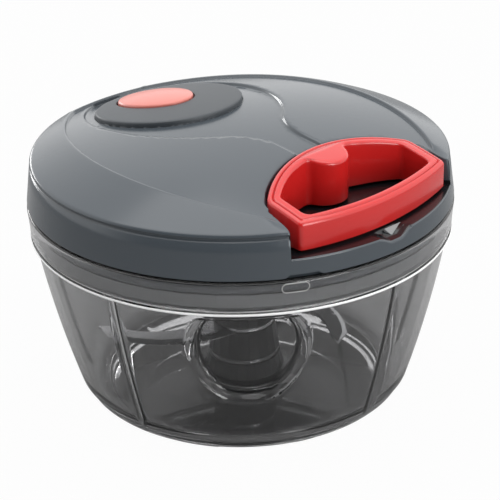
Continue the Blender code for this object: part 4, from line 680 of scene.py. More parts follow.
def recess_line(grow):
    """The recess's edge for y above 0, from the front to the middle of the back."""
    radius = BACK_ARC[1] + RECESS_BACK
    corner = RECESS_CORNER + grow
    middle = RECESS_SIDE + grow - corner
    x = BACK_ARC[0] - math.sqrt((radius + grow - corner) ** 2 - middle**2)
    turn_end = math.degrees(math.atan2(middle, x - BACK_ARC[0]))
    along = np.linspace(66.0, x, 30)
    front = np.stack([along, recess_side(along) + grow], -1)
    bend = arc((x, middle), RECESS_CORNER, 90.0, turn_end, 0.5, grow)
    back = arc((BACK_ARC[0], 0.0), radius, turn_end, 180.0, 0.9, grow)
    return np.concatenate([front, bend[1:], back[1:]])


print("points on the keyhole's edge:", 2 * len(valley_line(0.0)))

# %% [markdown]
# ## The plan's fixed edges
# Where the height bends over a short stretch, several rows lie close together: at the foot of a step,
# along its slope and over its rounding. The scoop's sides get short straight rows as well. Elsewhere
# the lid is smooth and needs none.

# %% Rows beside each outline
PLATFORM_ROWS = (0.4, 0.16, 0.08, 0.0, -0.06, -0.14, -0.3, -0.5, -0.8)
VALLEY_ROWS = (0.15, -0.03, -0.2, -0.37, -0.55)
SHOULDER_ROWS = (-0.44, -0.3, -0.22, -0.15, -0.08, 0.0, 0.12, 0.3, 0.55, 0.8, 1.0)
RECESS_ROWS = (0.55, 0.3, 0.12, 0.03, 0.0, -0.05)
HOLE_ROWS = (0.3, 0.14, 0.04, 0.0)
HOLE_COUNT = 100
SCOOP_SIDES = (-6.4, -5.6, -4.8, -4.0, -3.2, -2.4, -1.6, 1.6, 2.4, 3.2, 4.0, 4.8, 5.6, 6.4)


def plan_lines():
    """Every fixed line of the plan, each with a word on whether it is closed."""
    lines = [(oval_line(*PLATFORM, grow, 170), True) for grow in PLATFORM_ROWS]
    halves = ((valley_line, VALLEY_ROWS), (shoulder_line, SHOULDER_ROWS), (recess_line, RECESS_ROWS))
    for outline, rows in halves:
        for grow in rows:
            line = outline(grow)
            lines += [(line, False), (line * np.array([1.0, -1.0]), False)]
    lines += [(oval_line(*BUTTON_HOLE, grow, HOLE_COUNT), True) for grow in HOLE_ROWS]
    for offset in SCOOP_SIDES:
        along = np.linspace(58.7, 62.0, 7)
        lines.append((np.stack([along, np.full(7, SCOOP[0] + offset)], -1), False))
    for along in (58.9, 59.4, 59.9):
        across = np.linspace(SCOOP[0] - 7.4, SCOOP[0] + 7.4, 17)
        lines.append((np.stack([np.full(17, along), across], -1), False))
    for reach in (61.5, SHOULDER_REACH, RIM_REACH):
        lines.append((arc((0.0, 0.0), reach, 0.0, 359.4, 0.7), True))
    return lines


fixed_lines = plan_lines()
print("fixed lines:", len(fixed_lines))

# %% [markdown]
# ## The plan, cut into triangles
# A grid of points fills the plan between the lines, away from them so that no sliver appears. Delaunay
# triangulation with fixed edges then joins everything. It comes with Blender's mathutils, and it is
# much simpler here than cutting a solid with other solids.


# %% Triangulate with fixed edges
def grid_rows(spacing, reach):
    """Rows of a triangular grid of points within a circle."""
    rise = spacing * 0.866
    for row in range(int(2 * reach / rise) + 1):
        x = np.arange(-reach + (row % 2) * spacing / 2, reach, spacing)
        grid = np.stack([x, np.full(len(x), -reach + row * rise)], -1)
        yield grid[np.hypot(grid[:, 0], grid[:, 1]) < reach - 1.4]


def triangulated(lines, spacing, reach, near=0.5):
    points = []
    edges = []
    for line, closed in lines:
        start = len(points)
        chosen = line[np.hypot(line[:, 0], line[:, 1]) < reach + 1.5]
        points += [Vector(p) for p in chosen]
        edges += [(start + i, start + i + 1) for i in range(len(chosen) - 1)]
        if closed:
            edges.append((len(points) - 1, start))
    fixed = np.array([p[:] for p in points])
    for grid in grid_rows(spacing, reach):
        if len(grid):
            away = np.sqrt(((grid[:, None, :] - fixed[None, :, :]) ** 2).sum(-1)).min(1)
            points += [Vector(p) for p in grid[away > near]]
    made = delaunay_2d_cdt(points, edges, [], 0, 1e-5)
    return np.array([p[:] for p in made[0]]), np.array(made[2])


plan, triangles = triangulated(fixed_lines, 1.5, RIM_REACH)
middle = plan[triangles].mean(1)
hole = from_oval(middle[:, 0], middle[:, 1], *BUTTON_HOLE)
triangles = triangles[(np.hypot(middle[:, 0], middle[:, 1]) < RIM_REACH) & (hole > 0.0)]
first, second, third = (plan[triangles[:, i]] for i in range(3))
turned_over = np.cross(second - first, third - first) < 0
triangles[turned_over] = triangles[turned_over][:, ::-1]
lid_points = [tuple(p) for p in np.concatenate([plan, lid_height(*plan.T)[:, None]], 1)]
lid_faces = [tuple(t) for t in triangles]
print("plan:", len(plan), "points,", len(triangles), "triangles")

# %% [markdown]
# ## Open edges of the top
# The top is an open sheet so far: it ends at the outer circle and at the button's hole. The other walls
# hang from these edges, so the edges are found as loops of points in order, from the sides of triangles
# that no second triangle shares.


# %% Find the loops
def boundary_loops(faces):
    """The open edges of a triangle mesh, as loops of points in order."""
    sides = {(face[i], face[(i + 1) % 3]) for face in faces for i in range(3)}
    after = {}
    for face in faces:
        for i in range(3):
            start, end = face[i], face[(i + 1) % 3]
            if (end, start) not in sides:
                after[start] = end
    loops = []
    while after:
        start = next(iter(after))
        loop = [start]
        step = after.pop(start)
        while step != start and step in after:
            loop.append(step)
            step = after.pop(step)
        loops.append(loop)
    return loops


loops = sorted(boundary_loops(triangles.tolist()), key=len)
rim = loops[-1]
hole_loop = next(loop for loop in loops if abs(len(loop) - HOLE_COUNT) < 12)
print("loops:", [len(loop) for loop in loops])

# %% [markdown]
# ## Round the lid's edge
# The top meets the skirt in a rounded edge, which is smaller above the recess and the scoop. A curve
# with one control point at the corner gives it. The corner is where the slope of the top, carried
# outwards, meets the skirt's leaning side, so it is worked out for every direction.

# %% Rows over the edge
SKIRT_LEAN = (SKIRT_OUTER - SKIRT_RIM) / (SKIRT_TOP - SKIRT_BOTTOM)
EDGE_CUT = 0.8
LEDGE_CUT = 0.6
SCOOP_CUT = 0.9


def round_edge(line):
    """Rows that lead from the plan's outer circle over a rounded edge and onto the skirt."""
    along = line / np.hypot(line[:, 0], line[:, 1])[:, None]
    low = lid_height(*(line - 0.02 * along).T)
    slope = (lid_height(*(line - 0.32 * along).T) - low) / 0.3
    flat = from_recess(line[:, 0], line[:, 1]) < 0.0
    slope = np.where(flat, 0.0, np.clip(slope, 0.2, 0.9))
    stretch = np.hypot(1.0, slope)
    reach = SKIRT_OUTER - SKIRT_LEAN * (low + RIM_REACH * slope - SKIRT_BOTTOM)
    reach = reach / (1.0 - SKIRT_LEAN * slope)
    corner = low - slope * (reach - RIM_REACH)
    cut = np.where(flat, np.where(scoop_share(line[:, 1]) > 0.0, SCOOP_CUT, LEDGE_CUT), EDGE_CUT)
    cut = np.minimum(cut, 0.9 * (reach - RIM_REACH) * stretch)
    start = np.stack([reach - cut / stretch, corner + cut * slope / stretch], -1)
    middle = np.stack([reach, corner], -1)
    end = middle + cut[:, None] * np.array([SKIRT_LEAN, -1.0]) / math.hypot(1.0, SKIRT_LEAN)
    rows = []
    for t in (0.0, 0.15, 0.3, 0.45, 0.6, 0.75, 0.88, 1.0):
        place = (1 - t) ** 2 * start + 2 * t * (1 - t) * middle + t * t * end
        rows.append(np.concatenate([along * place[:, :1], place[:, 1:]], 1))
    return rows


def hang(loop, rows):
    """Continues the skin from a loop through rows of points, and returns the last row."""
    current = list(loop)
    for row in rows:
        start = len(lid_points)
        lid_points.extend(map(tuple, row))
        for i in range(len(loop)):
            j = (i + 1) % len(loop)
            lid_faces.append((current[j], current[i], start + i, start + j))
        current = [start + i for i in range(len(loop))]
    return current


rim_points = np.array([lid_points[i] for i in rim])
skirt = round_edge(rim_points[:, :2])
print("rows over the edge:", len(skirt))

# %% [markdown]
# ## Skirt and underside
# Below the rounded edge the skirt leans out a little. A fine groove runs just under the edge, except at
# the recess, and a small notch lifts the bottom above the mark on the collar. Inside, the skin steps up
# past the collar and runs in about three millimetres below the top, so the lid is a closed shell.

# %% Hang the skirt and close the lid
GROOVE_ROWS = ((0.01, 0.35), (0.03, 0.6), (0.075, 0.6), (0.10, 0.3))
PLAIN_ROWS = ((0.13, 0.0), (0.4, 0.0), (0.7, 0.0), (0.95, 0.0))
GROOVE_ABOVE = 72.0
BOTTOM_ROUNDING = 0.22
NOTCH = (-33.9, -33.3, -25.5, -24.9, 0.8)
INNER_WALL = ((63.76, 64.2), (63.76, 63.3), (66.9, 63.3), (66.9, 61.5))
UNDERSIDE = 67.1
WELL_DEPTH = 2.6
azimuth = np.arctan2(rim_points[:, 1], rim_points[:, 0])
left, left_end, right_end, right, lift = NOTCH
degrees = np.degrees(azimuth)
bottom = SKIRT_BOTTOM + lift * smooth(left, left_end, degrees) * smooth(right, right_end, degrees)


def skirt_row(z, shrink=0.0):
    return round_ring(SKIRT_OUTER - (z - SKIRT_BOTTOM) * SKIRT_LEAN - shrink, z, azimuth)


edge_low = skirt[-1][:, 2]
for share, groove in GROOVE_ROWS + PLAIN_ROWS:
    height = edge_low + (bottom + 0.2 - edge_low) * share
    skirt.append(skirt_row(height, groove * (edge_low > GROOVE_ABOVE)))
for inward, drop in quarter(0.0, 30.0, 60.0, 90.0):
    skirt.append(skirt_row(bottom + BOTTOM_ROUNDING * drop, BOTTOM_ROUNDING * inward))
skirt.append(round_ring(64.3, bottom, azimuth))
skirt += [round_ring(radius, z, azimuth) for z, radius in INNER_WALL]
for reach in np.linspace(61.5, 2.0, 30):
    x, y = reach * np.cos(azimuth), reach * np.sin(azimuth)
    ceiling = np.minimum(dome(x, y) - 3.2, SKIRT_TOP + 0.28 * (SKIRT_RIM - reach) - 2.6)
    clear_of_recess = smooth(3.2, 5.6, from_recess(x, y))
    skirt.append(round_ring(reach, UNDERSIDE + (ceiling - UNDERSIDE) * clear_of_recess, azimuth))
lid_faces.append(tuple(hang(rim, skirt)))
hole_points = np.array([lid_points[i] for i in hole_loop])
lid_faces.append(tuple(hang(hole_loop, [hole_points - np.array([0.0, 0.0, WELL_DEPTH])])))
piece("lid_top", lid_points, lid_faces, slate, "lid", ("lid_cover",))

# %% [markdown]
# ## The bowl
# The bowl is turned, apart from two finger grips pressed into its wall, six slim ribs inside and a foot
# with two gaps. A grid of rows and directions gives both the turned form and these changes: each is a
# small push in or out that depends on the direction and height.

# %% Shape of the bowl
WALL = (50.8, 12.8, 4.4)
WALL_HEIGHTS = (0.9, 54.4)
WALL_THICKNESS = 2.2
GRIP_AZIMUTH = -40.5
GRIP_SHIFT = -3.0
GRIP_ENDS = (20.4, 51.4)
GRIP_DEPTH = 3.6
GRIP_HALF = 17.0
RIBS = (-138.5, -91.0, -41.5, 41.5, 91.0, 138.5)
RIB_HEIGHT = 1.1
FOOT_GAP = (12.6, 14.4, 0.9)


def wall(z):
    """The outer wall's radius at a height."""
    share = (z - WALL_HEIGHTS[0]) / (WALL_HEIGHTS[1] - WALL_HEIGHTS[0])
    return WALL[0] + WALL[1] * share + WALL[2] * share * (1.0 - share)


def apart_from(azimuths, *targets):
    """The angle between each direction and the nearest target, in degrees."""
    return np.min([np.abs((azimuths - target + 180.0) % 360.0 - 180.0) for target in targets], axis=0)


def grip(azimuths, z):
    """How far the two finger grips are pressed in."""
    low, high = GRIP_ENDS
    middle = GRIP_AZIMUTH + GRIP_SHIFT
    apart = apart_from(azimuths, middle, middle + 180.0)
    widest = low + 0.62 * (high - low)
    rise = np.clip((z - widest) / (high - widest), 0.0, 1.0)
    fall = np.clip((widest - z) / (widest - low), 0.0, 1.0)
    half = GRIP_HALF * (1.0 - 0.26 * rise**2.2 - 0.62 * fall**2)
    across = 1.0 - smooth(half - 2.6, half + 0.1, apart)
    floor = low + 3.0 * (apart / 11.0) ** 2
    return GRIP_DEPTH * across * (1.0 - smooth(high - 0.5, high, z)) * smooth(floor, floor + 4.0, z)


def rib(azimuths):
    """How far the six ribs stand out from the inner wall."""
    apart = apart_from(azimuths, *[GRIP_AZIMUTH + r for r in RIBS])
    return RIB_HEIGHT * np.sqrt(np.clip(1.0 - apart**2, 0.0, 1.0))


def foot(azimuths):
    """The height of the foot's underside, which is lifted in two gaps."""
    start, end, lift = FOOT_GAP
    return lift * (1.0 - smooth(start, end, apart_from(azimuths, GRIP_AZIMUTH, GRIP_AZIMUTH + 180.0)))


print("wall at the foot and the collar:", round(wall(0.9), 1), round(wall(53.0), 1), "mm")

# %% [markdown]
# ## Profile of the bowl
# The profile runs from the foot up the outer wall, round the collar's ridge and the rim, and down the
# inner wall to the floor and its pin boss. The wall itself is a formula, so only the foot, the collar,
# the rim and the floor need points. Directions lie closer together at the ribs and grips.

# %% Build the bowl
FOOT_INSIDE = ((42.6, 0.9), (43.0, 0.45))
FOOT_RING = (43.6, 44.5, 46.0, 46.8)
FOOT_OUTSIDE = ((47.6, 0.95), (48.6, 1.3), (49.6, 2.0), (50.4, 2.8), (51.1, 4.0))
WALL_ROWS = ((6.0, 20.0, 2.0), (20.0, 29.0, 0.7), (29.0, 50.0, 1.0), (50.0, 51.0, 0.25), (51.0, 52.9, 0.1))
COLLAR = [
    (wall(53.0), 53.0), (63.7, 53.1), (64.2, 53.2), (64.6, 53.45), (64.75, 53.8), (64.65, 54.15),
    (64.3, 54.45), (64.15, 54.8), (64.3, 55.2), (64.6, 55.6), (64.65, 57.5),
]
RIM = [
    (65.05, 63.1), (64.8, 63.45), (64.4, 63.6), (63.4, 63.6), (63.0, 63.75), (63.0, 66.3), (62.9, 66.55),
    (62.7, 66.65), (62.1, 66.65), (61.9, 66.55), (61.8, 66.3), (61.8, 58.0), (61.8, 54.0), (61.7, 53.4),
    (61.4, 52.9),
]
FLOOR = [(48.9, 5.4), (48.0, 4.3), (46.6, 3.5), (44.8, 3.1), (42.0, 3.0), (20.0, 3.0), (6.2, 3.0)]
PIN_BOSS = [(5.4, 3.15), (4.9, 3.6), (4.7, 5.8), (4.5, 6.4), (4.2, 6.6), (1.6, 6.6), (1.6, 2.4)]
RIB_POINTS = (-1.0, -0.92, -0.7, -0.4, 0.0, 0.4, 0.7, 0.92, 1.0)


def bowl_azimuths():
    """The directions of the grid: every two degrees, and more at the ribs and grips."""
    wanted = set(np.arange(0.0, 360.0, 2.0).round(3).tolist())
    for r in RIBS:
        wanted |= {round((GRIP_AZIMUTH + r + o) % 360.0, 3) for o in RIB_POINTS}
    for g in (0.0, 180.0):
        wanted |= {round((GRIP_AZIMUTH + g + o) % 360.0, 3) for o in np.arange(-22.4, 20.1, 0.7)}
    result = np.array(sorted(wanted))
    return result[np.concatenate([[True], np.diff(result) > 0.12])]


def collar_radius(z):
    return 64.65 + 0.088 * (z - 57.5)


azimuths = bowl_azimuths()
turn = np.radians(azimuths)
heights = np.concatenate([np.arange(*span) for span in WALL_ROWS])
bowl_rings = [round_ring(radius, z, turn) for radius, z in FOOT_INSIDE]
bowl_rings += [round_ring(radius, foot(azimuths), turn) for radius in FOOT_RING]
bowl_rings += [round_ring(radius, z, turn) for radius, z in FOOT_OUTSIDE]
bowl_rings += [round_ring(wall(z) - grip(azimuths, z), z, turn) for z in heights]
bowl_rings += [round_ring(radius, z, turn) for radius, z in COLLAR]
bowl_rings += [round_ring(collar_radius(z), z, turn) for z in (59.2, 61.0, 62.6)]
bowl_rings += [round_ring(radius, z, turn) for radius, z in RIM]
for z in heights[::-1]:
    if z > 6.5:
        inside = wall(z) - WALL_THICKNESS - grip(azimuths, z) - rib(azimuths)
        bowl_rings.append(round_ring(inside, z, turn))
bowl_rings += [round_ring(radius, z, turn) for radius, z in FLOOR + PIN_BOSS]
points, faces = joined_rings(bowl_rings, capped=True)
piece("clear_bowl", points, faces, smoky, "bowl", ("bowl",))

# %% [markdown]
# ## The handle
# The handle is a D-shaped ring with a boss in its window, where the cord is knotted. Its outline and its
# window are both drawn with arcs that run into each other, which keeps every corner round. The right
# front corner of the real handle reaches a little further out, so the finished lines are pulled there.

# %% Outlines of the handle
FRONT_ARC = (-20.4, 80.0)
HANDLE_SIDE = 30.4
HANDLE_CORNERS = (1.6, 4.0)
HANDLE_POINTS = 161
WINDOW_FRONT = 76.6
WINDOW_BACK = 42.4
WINDOW_SIDE = 26.0
WINDOW_CORNER = 2.4
BOSS = (33.0, 7.3)
BOSS_SHIFT = 1.5
BOSS_FILLET = 1.8


def evenly(line, count):
    """The same line with evenly spaced points."""
    steps = np.concatenate([[0.0], np.cumsum(np.linalg.norm(np.diff(line, axis=0), axis=1))])
    at = np.linspace(0.0, steps[-1], count)
    return np.stack([np.interp(at, steps, line[:, 0]), np.interp(at, steps, line[:, 1])], -1)


def both_halves(lines):
    """A closed outline from the arcs of its half with y above 0."""
    half = evenly(np.concatenate([lines[0], *[line[1:] for line in lines[1:]]]), HANDLE_POINTS)
    return np.concatenate([half, half[-2:0:-1] * np.array([1.0, -1.0])])


def d_arcs(front, back, side, near, far, step, leave=180.0):
    """Half of a D: front arc, two round corners with the side between, back arc up to an angle."""
    beside = side - near
    middle = side - far
    front_x = front[0] + math.sqrt((front[1] - near) ** 2 - beside**2)
    back_x = back[0] - math.sqrt((back[1] - far) ** 2 - middle**2)
    first = math.degrees(math.atan2(beside, front_x - front[0]))
    last = math.degrees(math.atan2(middle, back_x - back[0]))
    return [
        arc((front[0], 0.0), front[1], 0.0, first, 0.4),
        arc((front_x, beside), near, first, 90.0, 0.2),
        arc((back_x, middle), far, 90.0, last, step),
        arc((back[0], 0.0), back[1], last, leave, 0.4),
    ]


def flared(line):
    """The right front corner stands a little further out than the left one."""
    share = (np.maximum(line[:, 1], 0.0) / HANDLE_SIDE) ** 2 * smooth(40.0, 54.0, line[:, 0])
    return line + share[:, None] * np.array([1.0, 0.4])


def handle_line(grow):
    """The handle's outer edge, moved out by grow."""
    front = (FRONT_ARC[0], FRONT_ARC[1] + grow)
    back = (BACK_ARC[0], BACK_ARC[1] + grow)
    near, far = (corner + grow for corner in HANDLE_CORNERS)
    return flared(both_halves(d_arcs(front, back, HANDLE_SIDE + grow, max(near, 0.05), far, 0.25)))


def window_line(grow):
    """The window's edge, drawn in by grow; the boss bulges into it from the back with soft fillets."""
    front = (FRONT_ARC[0], WINDOW_FRONT - grow)
    back = (BACK_ARC[0], WINDOW_BACK - grow)
    corner = WINDOW_CORNER - grow
    fillet = BOSS_FILLET - grow
    near = BOSS[1] + grow + fillet
    apart = back[0] - BOSS[0]
    along = (near**2 - (back[1] - fillet) ** 2 + apart**2) / (2.0 * apart)
    place = (BOSS[0] + along, math.sqrt(near**2 - along**2))
    leave = math.degrees(math.atan2(place[1], place[0] - back[0]))
    join = math.degrees(math.atan2(place[1], place[0] - BOSS[0]))
    lines = d_arcs(front, back, WINDOW_SIDE - grow, corner, corner, 0.2, leave)
    lines.append(arc(place, fillet, leave, join + 180.0, 0.15))
    lines.append(arc((BOSS[0], 0.0), BOSS[1] + grow, join, 0.0, 0.3))
    line = both_halves(lines)
    line[:, 1] += BOSS_SHIFT * smooth(15.0, 8.5, np.hypot(line[:, 0] - BOSS[0], line[:, 1]))
    return flared(line)


print("handle:", round(float(np.ptp(handle_line(0.0)[:, 1])), 1), "mm wide")

# %% [markdown]
# ## Skin of the handle
# A skin runs from the outline to the window: up the outer side, over a rounded edge, across the top with
# its fine groove, over the window's edge and down the inner side. The top follows the lid's dome, so
# the handle lies flush. Rings with equal counts make this a plain loop of four-sided faces.

# %% Build the handle
HANDLE_LOW = 70.4
LOW_ROUNDING = 0.5
OUTER_ROUNDING = 1.1
INNER_ROUNDING = 0.9
GROOVE = ((1.15, 0.0), (1.3, 0.3), (1.55, 0.6), (1.8, 0.3), (1.95, 0.0))


def handle_top(x, y):
    return dome(x, y) + 1.0


def level(line, height, sink=0.0):
    """A line of the plan at a height, which is a number or a function of the plan, less a sink."""
    z = height(line[:, 0], line[:, 1]) if callable(height) else np.full(len(line), height)
    return np.concatenate([line, z[:, None] - sink], 1)


handle_rings = []
for inward, drop in quarter(90.0, 60.0, 30.0, 0.0):
    handle_rings.append(level(handle_line(-LOW_ROUNDING * inward), HANDLE_LOW + LOW_ROUNDING * drop))
for inward, drop in quarter(0.0, 18.0, 36.0, 54.0, 72.0, 90.0):
    handle_rings.append(level(handle_line(-OUTER_ROUNDING * inward), handle_top, OUTER_ROUNDING * drop))
handle_rings += [level(handle_line(-drawn_in), handle_top, sink) for drawn_in, sink in GROOVE]
groove_line = handle_line(-GROOVE[-1][0])
inner_line = window_line(-INNER_ROUNDING)
for share in (0.25, 0.5, 0.75):
    handle_rings.append(level(groove_line + (inner_line - groove_line) * share, handle_top))
for inward, drop in quarter(90.0, 72.0, 54.0, 36.0, 18.0, 0.0):
    handle_rings.append(level(window_line(-INNER_ROUNDING * inward), handle_top, INNER_ROUNDING * drop))
for inward, drop in quarter(0.0, 30.0, 60.0, 90.0):
    handle_rings.append(level(window_line(-LOW_ROUNDING * inward), HANDLE_LOW + LOW_ROUNDING * drop))
points, faces = joined_rings(handle_rings, closed=True)
piece("pull_handle", points, faces, red, "handle", ("handle",))

# %% [markdown]
# ## The pointer
# A small light triangle points down at the parting line from the scoop below the handle. It probably
# shows how to set the lid on the bowl. It looks like a separate light insert, so it is made as a thin
# wedge with soft corners that stands a little proud of the scoop.

# %% Build the pointer
POINTER_CORNERS = [(59.8, -2.9, 69.65), (61.7, -1.5, 67.85), (60.2, 4.1, 69.65)]


def soft_corners(corners, cut=0.45, steps=4):
    """The same closed line with each corner replaced by a small curve."""
    result = []
    for i, here in enumerate(corners):
        before = corners[i - 1] - here
        after = corners[(i + 1) % len(corners)] - here
        start = here + before / np.linalg.norm(before) * cut
        end = here + after / np.linalg.norm(after) * cut
        for t in np.linspace(0.0, 1.0, steps + 1):
            result.append((1 - t) ** 2 * start + 2 * t * (1 - t) * here + t * t * end)
    return np.array(result)


triangle = soft_corners(np.array(POINTER_CORNERS))
middle = triangle.mean(0)
pointer_rings = [triangle - np.array([0.6, 0.0, 1.1]), triangle, triangle + np.array([0.06, 0.0, 0.08])]
pointer_rings.append(middle + (triangle - middle) * 0.86 + np.array([0.1, 0.0, 0.14]))
points, faces = joined_rings(pointer_rings, capped=True)
piece("lid_mark", points, faces, pale, "lid", ("lid_pointer",))

# %% [markdown]
# ## The button
# An oval cap, slightly crowned, stands in the hole of the platform with a thin dark gap round it. The
# outline is the same oval at every height, so the cap is a stack of scaled ovals with a rounded edge,
# and its top follows the dome with a small crown.

# %% Build the button
BUTTON_LOW = 75.0
BUTTON_ROUNDING = 0.6
BUTTON_CROWN = 1.0


def button_ring(share, z, grow=0.0, sink=0.0):
    middle = np.array([BUTTON[0], 0.0])
    return level((oval_line(*BUTTON, grow, 96) - middle) * share + middle, z, sink)


def button_top(x, y):
    k = ((x - BUTTON[0]) / BUTTON[1]) ** 2 + (y / BUTTON[2]) ** 2
    return dome(x, y) + PLATFORM_RISE + 0.6 + BUTTON_CROWN * (1.0 - k)


button_rings = [button_ring(share, BUTTON_LOW) for share in (0.02, 0.86)]
button_rings += [button_ring(0.87, BUTTON_LOW + 0.5), button_ring(1.0, BUTTON_LOW + 1.0)]
button_rings.append(button_ring(1.0, button_top, sink=BUTTON_ROUNDING))
for inward, drop in quarter(0.0, 22.0, 45.0, 68.0, 90.0):
    button_rings.append(button_ring(1.0, button_top, -BUTTON_ROUNDING * inward, BUTTON_ROUNDING * drop))
for share in (0.8, 0.6, 0.4, 0.2, 0.02):
    button_rings.append(button_ring(share, button_top, -BUTTON_ROUNDING * share))
points, faces = joined_rings(button_rings, capped=True)
piece("button_cap", points, faces, coral, "button", ("button",))

# %% [markdown]
# ## Trees that grow pieces
# Springs, screws and cord repeat a form or follow a path, which Geometry Nodes do well. Each tree has
# named inputs for its sizes. It runs on a small mesh of points, and its result is kept as a plain mesh.


# %% Geometry Nodes helper
class Tree:
    """A Geometry Nodes tree with named inputs. It ends in Realize Instances and Set Material."""

    def __init__(self, name, **inputs):
        self.group = bpy.data.node_groups.new(name, "GeometryNodeTree")
        face = self.group.interface
        face.new_socket("Geometry", in_out="INPUT", socket_type="NodeSocketGeometry")
        face.new_socket("Geometry", in_out="OUTPUT", socket_type="NodeSocketGeometry")
        self.keys = {}
        for key, kind in {**inputs, "paint": "Material"}.items():
            self.keys[key] = face.new_socket(key, in_out="INPUT", socket_type="NodeSocket" + kind).identifier
        self.given = self.group.nodes.new("NodeGroupInput").outputs

    def node(self, kind, values=None, out=0, **settings):
        made = self.group.nodes.new(kind)
        for key, value in settings.items():
            setattr(made, key, value)
        for key, value in (values or {}).items():
            if isinstance(value, bpy.types.NodeSocket):
                self.group.links.new(value, made.inputs[key])
            else:
                made.inputs[key].default_value = value
        return made.outputs[out]

    def end(self, geometry):
        whole = self.node("GeometryNodeRealizeInstances", {0: geometry})
        painted = self.node("GeometryNodeSetMaterial", {0: whole, "Material": self.given["paint"]})
        self.group.links.new(painted, self.group.nodes.new("NodeGroupOutput").inputs[0])
        return self


# %% [markdown]
# ## From a tree to a plain mesh
# A tree runs as a modifier on an object. The modifier's inputs are set by their identifiers, the object
# is evaluated once, and the evaluated shape becomes a mesh of its own. The carrier with its modifier is
# then removed, so the piece that is handed over has nothing live on it.


# %% Run a tree
def chain(count, closed=False):
    """The edges of a line through points in order."""
    return [(i, (i + 1) % count) for i in range(count if closed else count - 1)]


def grown(name, tree, points, edges, body, replaced=(), slot=None, **inputs):
    """Runs a tree on points and edges, and hands its result over as a plain mesh."""
    seed = bpy.data.meshes.new(name + "_path")
    seed.from_pydata([tuple(p) for p in np.asarray(points, float) * MM], edges, [])
    source = bpy.data.objects.new(name + "_path", seed)
    scene.collection.objects.link(source)
    modifier = source.modifiers.new("tree", "NODES")
    modifier.node_group = tree.group
    for key, value in inputs.items():
        modifier[tree.keys[key]] = value
    mesh = bpy.data.meshes.new_from_object(source.evaluated_get(bpy.context.evaluated_depsgraph_get()))
    source.modifiers.remove(modifier)
    bpy.data.objects.remove(source)
    mesh.shade_smooth()
    carried(name, mesh, body, replaced)


# %% [markdown]
# ## Cord and wire along a path
# A cord is drawn as a line of points and swept with a round section. The tree smooths the line first. The
# cord runs from the reel through the eyelet to a knot in the handle. Between lid and handle it is pulled
# out; that piece goes to no body, its transform is only baked in, and its rings lie close together along it.

# %% Build the cord
CORD_RADIUS = 0.8
CORD_Z = 75.6
WOUND_TURNS = 4.05
WOUND_START = 13.1
WOUND_PITCH = 2.05
WOUND_END = -32.0
KNOT_X = 34.9
KNOT_SIZE = 0.46


def wire_tree():
    tree = Tree("wire", radius="Float", step="Float")
    line = tree.node("GeometryNodeMeshToCurve", {0: tree.given["Geometry"]})
    line = tree.node("GeometryNodeCurveSplineType", {0: line}, spline_type="CATMULL_ROM")
    line = tree.node("GeometryNodeResampleCurve", {0: line, 3: tree.given["step"]}, mode="LENGTH")
    ring = tree.node("GeometryNodeCurvePrimitiveCircle", {"Resolution": 14, "Radius": tree.given["radius"]})
    return tree.end(tree.node("GeometryNodeCurveToMesh", {0: line, 1: ring, "Fill Caps": True}))


wire = wire_tree()


def cord(name, points, closed, body, replaced, step):
    edges = chain(len(points), closed)
    sizes = {"radius": CORD_RADIUS * MM, "step": step * MM, "paint": cord_paint}
    grown(name, wire, points, edges, body, (replaced,), "cord", **sizes)


share = np.linspace(0.0, 1.0, 163)
angle = np.radians(WOUND_END - 360.0 * WOUND_TURNS * (1.0 - share))
wound = round_ring(WOUND_START + WOUND_PITCH * WOUND_TURNS * share, CORD_Z - 1.0, angle)
cord("cord_turns", wound, False, "reel", "cord_wound", 1.0)
lead = [(18.15, -11.34, CORD_Z + 1.0), (20.9, -6.87, CORD_Z + 0.9), (23.5, -2.4, CORD_Z + 0.8)]
lead += [(25.7, -0.5, CORD_Z + 0.25), (26.9, 0.0, CORD_Z), (27.2, 0.0, CORD_Z)]
cord("cord_lead_in", lead, False, "lid", "cord_lead", 1.0)
run = [(x, 0.0, CORD_Z) for x in np.arange(27.1, 32.61, 0.1)]
shared = ("lid", "handle", (0.0275, 0.0, CORD_Z * MM), (0.0315, 0.0, CORD_Z * MM))
cord("cord_run", run, False, shared, "cord_stub", 0.1)
t = np.linspace(0.0, 2.0 * math.pi, 90, endpoint=False)
knot = np.stack([-np.sin(3.0 * t), np.sin(t) + 2.0 * np.sin(2.0 * t), np.cos(t) - 2.0 * np.cos(2.0 * t)], -1)
cord("knot", knot * KNOT_SIZE + (KNOT_X, 0.0, CORD_Z), True, "handle", "cord_knot", 0.3)

# %% [markdown]
# ## The lock mark
# The collar has a small raised outline, which probably has to do with locking the lid. It is a thin bead
# on the curved wall, so the same tree sweeps it along a path that is wrapped round the collar. The bead
# is light grey and opaque: a painted highlight for the light lines that the clear outline shows.

# %% Build the lock mark
MARK = (-31.7, 61.5)
MARK_HALF = (2.5, 1.4)
BEAD_RADIUS = 0.17
ends = np.radians(np.concatenate([np.linspace(-90.0, 90.0, 13), np.linspace(90.0, 270.0, 13)]))
along = MARK_HALF[1] * np.cos(ends) + MARK_HALF[0] * np.repeat([1.0, -1.0], 13)
height = MARK[1] + MARK_HALF[1] * np.sin(ends)
path = round_ring(collar_radius(height) + 0.02, height, np.radians(MARK[0]) + along / 64.9)
bead = {"radius": BEAD_RADIUS * MM, "step": 0.3 * MM, "paint": painted_highlight}
grown("lock_mark", wire, path, chain(len(path), True), "bowl", **bead)

# %% [markdown]
# ## Springs
# The button stands on a coil spring, and a flat spiral spring winds the reel back. Both are spirals: one
# climbs at an even radius with a round section, the other widens in its plane with a strip's section. The
# coil sits between the lid and the button; it goes to neither body, and its transform is only baked in.


